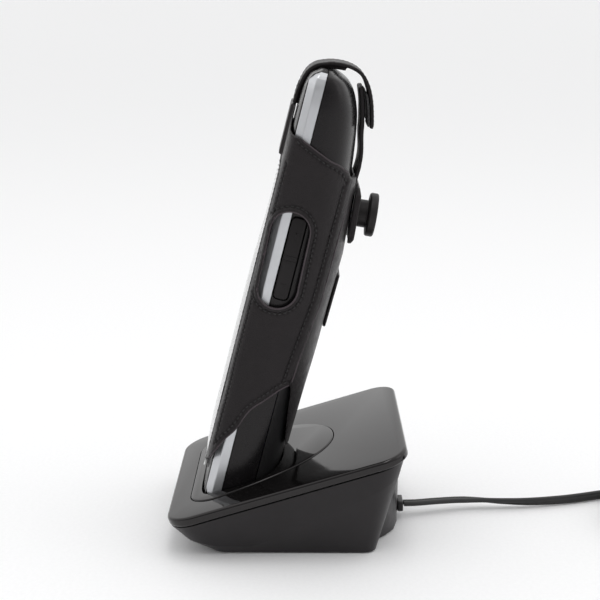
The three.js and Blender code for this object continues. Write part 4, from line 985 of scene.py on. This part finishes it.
def sleeve_mesh(grow, place=floor_frame):
    """The sleeve's closed body in its own frame, or in the frame that the place leads to."""
    heights = [sleeve.bottom - grow, *np.linspace(2, 115, 50), sleeve.top + grow]
    rings = [slab_ring(sleeve.half_width + grow, sleeve_front(z) + grow, sleeve_rear(z) + grow, sleeve, z,
                       SLEEVE_SIDES) for z in heights]
    return loose_mesh(loft(rings), place)


def outline_line(part, steps):
    """A stretch of the side's outline in YZ: its low edge, its back or its top edge."""
    return through([(y * (sleeve.front if y < 0 else sleeve.rear), sleeve.bottom + z * sleeve_height)
                    for y, z in side_outline_shares[part]], steps)


def window_outline(grow):
    """The side window in YZ, with its small tilt."""
    turn = Matrix.Rotation(window.tilt, 2)
    shape = rounded_rectangle(window.width + 2 * grow, window.height + 2 * grow, window.corner + grow, 14)
    return [(window.y + p.x, window.z + p.y) for p in (turn @ Vector(q) for q in shape)]


def region_mesh():
    low, rear, top = (outline_line(part, 6) for part in range(3))
    front = -1.35 * sleeve.front
    return prism_x([(front, sleeve.bottom), *low, *rear[1:], *top, (front, sleeve.top)])


def shoulder_meshes():
    """Cuts that take the front's upper corners away beside the strap's root."""
    return [prism_y([(side * x * sleeve.half_width, sleeve.bottom + z * sleeve_height)
                     for x, z in strap_shoulder_shares], -REACH, -sleeve.shoulder_depth) for side in (1, -1)]


def seam_y(z):
    depths, heights = zip(*seam_line)
    return float(np.interp(z, heights, depths))


def seam_points(out, low, high, count):
    return [(seam_y(z) + out, z) for z in np.linspace(low, high, count)]


def skin(outer, inner, outline):
    """The space between two offsets from the sleeve's face, inside an outline in YZ."""
    return carve(carve(sleeve_mesh(outer), (CUT, sleeve_mesh(inner))), (KEEP, prism_x(outline)))


def leather_layers():
    """The raised ring round each side window and the folded edge of the side panels along the back seam."""
    ring = skin(relief.ring, -relief.depth, window_outline(relief.ring_width))
    edge = seam_points(-relief.fold_width, SEAM_LOW, SEAM_HIGH, 20) + seam_points(0, SEAM_HIGH, SEAM_LOW, 20)
    return [carve(ring, (CUT, prism_x(window_outline(0)))), skin(relief.fold, -relief.depth, edge)]


def back_recess():
    """The back panel lies a little lower than the side panels that wrap onto it."""
    low, high, rear = -10, 104, 30
    return skin(3, -relief.recess, seam_points(0, low, high, 30) + [(rear, high), (rear, low)])


def on_side(y, z, side):
    """The point of the sleeve's skin at a depth and a height on one side, and its direction outwards."""
    def x_at(y, z):
        return side_reach(y, sleeve.half_width, sleeve_front(z), sleeve_rear(z), sleeve, 0.9999)
    slope_y = (x_at(y + SMALL, z) - x_at(y - SMALL, z)) / (2 * SMALL)
    slope_z = (x_at(y, z + SMALL) - x_at(y, z - SMALL)) / (2 * SMALL)
    return Vector((side * x_at(y, z), y, z)), Vector((side, -slope_y, -slope_z)).normalized()


def on_front(x, z):
    """The same for a place on the sleeve's front."""
    reach = (sleeve_front(z) + sleeve_rear(z)) * sleeve.split_share
    power = sleeve.front_power

    def y_at(x):
        share = min(0.9999, abs(x) / sleeve.half_width)
        return reach - sleeve_front(z) - reach * (1 - share ** power) ** (1 / power)
    slope = (y_at(x + SMALL) - y_at(x - SMALL)) / (2 * SMALL)
    return Vector((x, y_at(x), z)), Vector((slope, -1, 0)).normalized()


def on_leather(y, z):
    """Whether a side has leather there: not round the front and back, and not over the cut shoulder."""
    over = (z > sleeve.bottom + strap_shoulder_shares[0][1] * sleeve_height
            and y < 0.1 - sleeve.shoulder_depth)
    front_share, rear_share = side_limit_shares
    return -front_share * sleeve_front(z) < y < rear_share * sleeve_rear(z) and not over


def tangents(line):
    along = np.gradient(line, axis=0)
    return along / np.linalg.norm(along, axis=1)[:, None]


def inside_line(line, distance):
    """A line in a plane moved to its left by a distance."""
    line = np.array(line, float)
    along = tangents(line)
    return line + distance * np.stack([-along[:, 1], along[:, 0]], axis=1)


stitch = Sizes(pitch=1.6, length=1.1, radius=0.21, sides=7, margin=1.7, ring_margin=1.9, seam_margin=2.6,
               band_margin=1.5, lip_share=0.885, groove=0.6, groove_width=0.42)


def sleeve_stitch_lines():
    """Rows of points with their outward directions, one for each seam of the sleeve."""
    low, top = (inside_line(outline_line(part, 8), stitch.margin) for part in (0, 2))
    ring = window_outline(stitch.ring_margin)
    ring.append(ring[0])
    seam = seam_points(-stitch.seam_margin, 34, 98, 20)
    lip = [(-stitch.lip_share * sleeve_front(z), z) for z in np.linspace(9, 101, 30)]
    rows = [[on_side(y, z, side) for y, z in even(line, stitch.pitch) if on_leather(y, z)]
            for side in (1, -1) for line in (low, top, ring, seam, lip)]
    wide = opening.half_width + stitch.margin
    high = opening.top + stitch.margin
    half = [(-wide, 6), (-wide, high - opening.corner), (-wide + opening.corner, high)]
    frame_line = half + [(-x, z) for x, z in reversed(half)]
    return rows + [[on_front(x, z) for x, z in even(frame_line, stitch.pitch)]]


def thread(rows, rise=0.1):
    """Short rounded stitches that lie along each row, each with a small tilt of its own."""
    parts = []
    for (a, normal), (b, _) in (pair for row in rows for pair in zip(row, row[1:])):
        along = (b - a).normalized()
        along = (along + Vector([random.uniform(-0.06, 0.06) for _ in range(3)])).normalized()
        across = along.cross(normal).normalized()
        up = across.cross(along).normalized()
        half = stitch.length / 2 * random.uniform(0.93, 1.05)
        rings = []
        for share in (-1, -0.8, -0.35, 0.35, 0.8, 1):
            radius = stitch.radius * sqrt(max(0.04, 1 - share * share))
            middle = (a + b) / 2 + along * half * share + up * (rise - 0.16 * share * share)
            rings.append([middle + across * radius * cos(t) + up * radius * sin(t)
                          for t in (TAU * s / stitch.sides for s in range(stitch.sides))])
        parts.append(loft(rings))
    return joined(parts)


def push_out(mesh, heights):
    """Moves each vertex along its normal by the height that the function gives for its place."""
    points = np.empty(len(mesh.vertices) * 3)
    normals = np.empty(len(mesh.vertices) * 3)
    mesh.vertices.foreach_get("co", points)
    mesh.vertices.foreach_get("normal", normals)
    moves = np.array([heights(Vector(p)) for p in points.reshape(-1, 3)])
    points += normals * np.repeat(moves, 3)
    mesh.vertices.foreach_set("co", points)
    mesh.update()


def sink_rows(mesh, rows, depth, width):
    """Presses the leather in at the ends of the stitches."""
    marks = [p for row in rows for p, _ in row]
    tree = KDTree(len(marks))
    for place, mark in enumerate(marks):
        tree.insert(mark, place)
    tree.balance()
    push_out(mesh, lambda p: -depth * exp(-(tree.find(p)[2] / width) ** 2))


def crumple(mesh, amount, scale, seed=0.0):
    """Slow uneven waves in a surface."""
    shift = Vector((seed, seed, seed))
    push_out(mesh, lambda p: amount * noise.noise(p * scale + shift))


def soft_piece(name, mesh, material, body, replaces=(), place=case_frame):
    return finish_piece(name, mesh, material, body, place, replaces, 180)


def make_sleeve():
    half = strap.width / 2
    root_box = box_mesh((-half, -REACH, strap.root_bottom), (half, 0, sleeve.top))
    root = carve(sleeve_mesh(strap.root), (KEEP, root_box))
    inside = loose_mesh(handset_body(sleeve.clearance + 0.05), case_in_handset.inverted())
    front_window = rounded_prism(2 * opening.half_width, opening.top - opening.bottom, opening.corner,
                                 -REACH, 0, z=(opening.top + opening.bottom) / 2)
    core = carve(sleeve_mesh(0), (JOIN, root), (KEEP, region_mesh()), (CUT, back_recess()),
                 *[(JOIN, extra) for extra in leather_layers()], (CUT, inside),
                 *[(CUT, tool) for tool in (*shoulder_meshes(), front_window, prism_x(window_outline(0)))])
    mesh = remeshed(core, voxel=0.42, relax=4)
    rows = sleeve_stitch_lines()
    crumple(mesh, amount=0.24, scale=0.055, seed=3.0)
    sink_rows(mesh, rows, stitch.groove, stitch.groove_width)
    soft_piece("leather_sleeve", mesh, "leather", "handset", ("case_sleeve",))
    build("sleeve_stitching", thread(rows), "thread", "handset", case_frame)


def make_leather_edges():
    """The raw cut edges of the leather: the back seam, the side's top and bottom edges and the windows, as
    strips of a leather eight times lighter, which is a painted highlight along them.
    """
    half, depth, chamfer, pitch = 0.2, 0.5, 0.06, 0.7
    low, top = (inside_line(outline_line(part, 8), half) for part in (0, 2))
    ring = window_outline(half)
    ring.append(ring[0])
    seam = seam_points(-half / 2, SEAM_LOW, SEAM_HIGH, 60)
    parts = []
    for side in (1, -1):
        for line, proud in ((seam, 0.42), (low, 0.06), (top, 0.06), (ring, 0.46)):
            row = [on_side(y, z, side) for y, z in even(line, pitch) if on_leather(y, z)]
            rings = []
            for index, (place, normal) in enumerate(row):
                along = row[min(len(row) - 1, index + 1)][0] - row[max(0, index - 1)][0]
                across = along.cross(normal).normalized()
                wave = 0.08 * noise.noise(place * 0.5)
                rings.append([place + normal * (out + wave) + across * wide for out, wide in (
                    (-depth, half), (proud - chamfer, half), (proud, 0), (proud - chamfer, -half),
                    (-depth, -half))])
            parts.append(loft(rings))
    # The strips' lighter leather is a painted highlight along the edges
    build("leather_edges_painted_highlight", joined(parts), "edge", "handset", case_frame)


def make_film():
    """The clear window: a thin sheet that swells out of the front of the case."""
    low, high = opening.bottom + film.gap, opening.top - film.gap
    half = opening.half_width - film.gap
    # How far the sheet swells and how wide it is, along its height
    places, swells, widths = zip((0, 0.15, 0.85), (0.035, 0.6, 1), (0.12, 1, 1), (0.6, 1, 1), (0.8, 0.5, 1),
                                 (0.965, 0.12, 1), (1, 0.1, 0.85))
    rings = []
    for along in np.linspace(0, 1, 60):
        z = low + (high - low) * along
        swell = film.bulge * float(monotone(along, places, swells))
        wide = half * float(np.interp(along, places, widths))
        front = [(x, film.inset - sleeve_front(z) - swell * cos(TAU / 4 * x / half), z)
                 for x in (wide * (step / 20 - 1) for step in range(41))]
        rings.append(front + [(x, y + film.thickness, z) for x, y, z in reversed(front)])
    build("window_film", loft(rings), "film", "handset", case_frame, ("case_window_film",))


# The outer faces of the strap and the tab in YZ, as shares of their reach and height
strap_line_shares = [
    (-1, 0), (-0.994, 0.246), (-0.968, 0.413), (-0.923, 0.599), (-0.846, 0.743), (-0.718, 0.856),
    (-0.577, 0.916), (-0.442, 0.964), (-0.173, 1), (0.073, 0.976), (0.309, 0.91), (0.504, 0.784),
    (0.667, 0.617), (0.805, 0.413), (0.919, 0.174), (1, -0.03), (0.99, -0.1),
]
tab_line_shares = [
    (0.42, 1), (0.575, 0.827), (0.73, 0.609), (0.807, 0.459), (0.945, 0.263), (1, 0.098), (1, 0),
    (0.99, -0.16),
]


def bent_line(form, shares, inwards=0.0):
    """The outer face of the strap or the tab in YZ, moved inwards by a distance."""
    line = [(y * (form.front if y < 0 else form.rear), form.bottom + z * (form.top - form.bottom))
            for y, z in shares]
    return inside_line(through(line, 6), -inwards)


def band(line, thickness, width):
    """A leather band of that width under a line in YZ."""
    return prism_x([*line, *inside_line(line, -thickness)[::-1]], -width / 2, width / 2)


def band_rows(line, width):
    """Two rows of stitches along a band, close to its edges, on its outer face."""
    line = even(line, stitch.pitch)[1:-1]
    return [[(Vector((side * (width / 2 - stitch.band_margin), y, z)), Vector((0, -ty, tx)).normalized())
             for (y, z), (tx, ty) in zip(line, tangents(line))] for side in (1, -1)]


TAPE_THICKNESS = 0.4


def make_strap():
    line = bent_line(strap, strap_line_shares)
    slot = rounded_prism(strap.slot_width, strap.slot_height, strap.slot_height / 2, -REACH, 0,
                         z=strap.slot_z)
    under = bent_line(strap, strap_line_shares, strap.thickness - 0.2)
    lining = band(under[:int(strap.lining_share * len(under))], strap.lining, strap.width - 1)
    solid = carve(band(line, strap.thickness, strap.width), (JOIN, lining), (CUT, slot))
    mesh = remeshed(solid, voxel=0.3, relax=3)
    rows = band_rows(line, strap.width)
    sink_rows(mesh, rows, strap.groove, stitch.groove_width)
    soft_piece("leather_strap", mesh, "strap", "strap", ("case_strap",))
    build("strap_stitching", thread(rows, -0.06), "thread", "strap", case_frame)
    under = bent_line(strap, strap_line_shares, strap.thickness + 0.3)
    under = under[int(strap.tape_start_share * len(line)):]
    make_tape("hook_tape", band(under, TAPE_THICKNESS, strap.width - 0.6), "strap", "strap_hook_tape")


def make_tape(name, mesh, body, node):
    fine = remeshed(mesh, voxel=0.2, relax=1)
    crumple(fine, amount=0.16, scale=1.9)
    soft_piece(name, fine, "tape", body, (node,))


def make_tab():
    line = bent_line(tab, tab_line_shares)
    mesh = remeshed(band(line, tab.thickness, tab.width), voxel=0.33, relax=3)
    crumple(mesh, amount=0.2, scale=0.16, seed=9.0)
    soft_piece("leather_tab", mesh, "strap", "handset", ("case_back_tab",))
    over = bent_line(tab, tab_line_shares, -0.55)[1:int(len(line) * tab.tape_end_share)]
    make_tape("loop_tape", band(over, TAPE_THICKNESS, tab.tape_width), "handset", "tab_loop_tape")


def make_stud():
    place = case_frame @ turned_at((0, sleeve_rear(stud.z) + stud.seat, stud.z), stud.lean)
    flat, rim, turns = stud.head_radius - stud.rim, stud.rim, np.linspace(0, TAU / 4, 6)
    arc = [(flat + rim * sin(t), rim * (1 - cos(t))) for t in turns]
    profile = [(0, 0), (stud.flange_radius, 0), (stud.flange_radius, stud.flange),
               (stud.neck_radius + stud.fillet, stud.flange), (stud.neck_radius, stud.flange + stud.fillet),
               (stud.neck_radius, stud.neck_end - 0.2)]
    profile += [(r, stud.neck_end + h) for r, h in arc]
    profile += [(r, stud.head_end - h) for r, h in reversed(arc)]
    dish = stud.head_end - stud.dish
    profile += [(stud.dish_radius, stud.head_end), (stud.dish_floor, dish), (0, dish)]
    build("stud_button", lathe(profile), "stud", "handset", place @ z_to_rear, ("belt_stud",), crease=30)
    return place


def make_patch(place):
    low, high, outer = -stud.patch_bottom, stud.patch_top, stud.patch_outer
    root, edge, gap = -stud.patch_root, stud.patch_edge, stud.patch_gap
    outline = [(root, low), (edge, low), (outer, -stud.head_radius), (outer, stud.head_radius), (edge, high),
               (root, high)]
    corners = rounded_prism(stud.patch_width, high - low, stud.patch_corner, -8, 8, z=(high + low) / 2)
    well, hole = (loose_mesh(lathe([(radius + gap, -5), (radius + gap, top)]), z_to_rear)
                  for radius, top in ((stud.flange_radius, 0.9), (stud.neck_radius, 12)))
    body = sleeve_mesh(0.1, place.inverted() @ case_frame)
    half = stud.patch_width / 2
    solid = carve(prism_x(outline, -half, half), (KEEP, corners), (CUT, body), (CUT, well), (CUT, hole))
    mesh = remeshed(solid, voxel=0.3, relax=3)
    soft_piece("leather_patch", mesh, "leather", "handset", ("stud_patch",), place)


def make_back_loop():
    """The flat leather loop across the back panel, below the stud."""
    low, high, half = loop.bottom, loop.top, loop.width / 2
    rear = sleeve_rear(low)
    face = rear + loop.proud
    outline = [(rear - 6, low), (rear + 0.5, low), (face, low + loop.edge), (face, high - loop.edge),
               (rear + 0.5, high), (rear - 6, high)]
    sides = rounded_prism(loop.width, high - low, loop.corner, 0, REACH, z=(low + high) / 2)
    solid = carve(prism_x(outline, -half, half), (KEEP, sides), (CUT, sleeve_mesh(-0.5)))
    soft_piece("leather_loop", remeshed(solid, voxel=0.3, relax=3), "leather", "handset")
    end = half - loop.stitch_end
    rows = [[(Vector((x, face + 0.05, z)), Vector((0, 1, 0))) for x in np.linspace(-end, end, 10)]
            for z in (low + loop.stitch_margin, high - loop.stitch_margin)]
    build("loop_stitching", thread(rows, 0), "thread", "handset", case_frame)


# Everything that keeps its frame shape gets a finish

node_groups = {
    "steel": ("ballast_weight", "base_screw_left", "base_screw_right", "earpiece_speaker", "microphone"),
    "gold": ("charge_pin_left", "charge_pin_right", "charge_pad_left", "charge_pad_right"),
    "rubber": ("cord_tie", "adapter_strain_relief", *(f"rubber_foot_{number}" for number in range(1, 5))),
    "board": ("base_circuit_board", "main_circuit_board"),
    "cell": ("battery_pack",),
    "lens": ("display_lens",),
    "screen": ("display_module",),
}


def finish_nodes():
    finishes = {name: material for material, names in node_groups.items() for name in names}
    for name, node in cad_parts.items():
        node.data.materials.clear()
        node.data.materials.append(materials[finishes.get(name, "satin")])


# Light, floor and surroundings

def area_light(name, place, aim, size, power):
    data = bpy.data.lights.new(name, "AREA")
    data.shape = "RECTANGLE"
    data.size, data.size_y = size
    data.energy = power
    light = add_object(name, data)
    light.location = place
    light.rotation_euler = (Vector(aim) - Vector(place)).to_track_quat("-Z", "Y").to_euler()


def make_world():
    """Light from the far side, from above and from both ends; the camera sees an even pale background."""
    brightest_way = (-0.38, 0.06, 0.44)
    even_light, end_light, seen_light = 0.5, 0.34, 0.91
    world = bpy.data.worlds.new("studio")
    bpy.context.scene.world = world
    world.use_nodes = True
    tree = world.node_tree
    way = add_node(tree, "TexCoord", "Generated", {})
    slope = add_node(tree, "VectorMath", "Value", {0: way, 1: brightest_way}, operation="DOT_PRODUCT")
    level = add_node(tree, "Math", "Value", {0: slope, 1: even_light}, operation="ADD")
    across = add_node(tree, "SeparateXYZ", "Y", {"Vector": way})
    sides = add_node(tree, "Math", "Value", {0: across}, operation="ABSOLUTE")
    flanks = add_node(tree, "Math", "Value", {0: sides, 1: end_light, 2: level}, operation="MULTIPLY_ADD")
    seen = add_node(tree, "LightPath", "Is Camera Ray", {})
    strength = add_node(tree, "Mix", "Result", {"Factor": seen, "A": flanks, "B": seen_light})
    background = tree.nodes["Background"]
    feed(background.inputs["Strength"], strength)
    feed(background.inputs["Color"], (1, 1, 1, 1))


def make_floor():
    reach = 60
    mesh = bpy.data.meshes.new("floor")
    corners = [(-reach, -reach, 0), (reach, -reach, 0), (reach, reach, 0), (-reach, reach, 0)]
    mesh.from_pydata(corners, [], [(0, 1, 2, 3)])
    floor = add_object("floor", mesh)
    paper = Finish("floor_paper")
    mesh.materials.append(paper.made({
        "Base Color": paper.tones(paper.noise(0.8), (0.9, 0.9, 0.905), (0.93, 0.93, 0.935)),
        "Roughness": 0.75, "Specular IOR Level": 0.2}))


def make_surroundings():
    bpy.context.scene.view_settings.view_transform = "Standard"
    make_world()
    make_floor()
    area_light("key", (0.3, -0.5, 0.8), (0, 0, 0.06), (0.7, 0.5), 0.35)
    area_light("top", (0.26, 0, 0.95), (0.06, 0, 0), (0.22, 0.8), 1.7)
    area_light("rear", (0.15, 0.75, 0.5), (0, 0, 0.08), (0.4, 0.6), 0.4)


make_plate()
make_insert()
make_housing()
make_trims()
make_front_shell()
make_rear_shell()
make_rocker()
make_keys()
make_sleeve()
make_leather_edges()
make_film()
make_strap()
make_tab()
make_patch(make_stud())
make_back_loop()
finish_nodes()
make_surroundings()
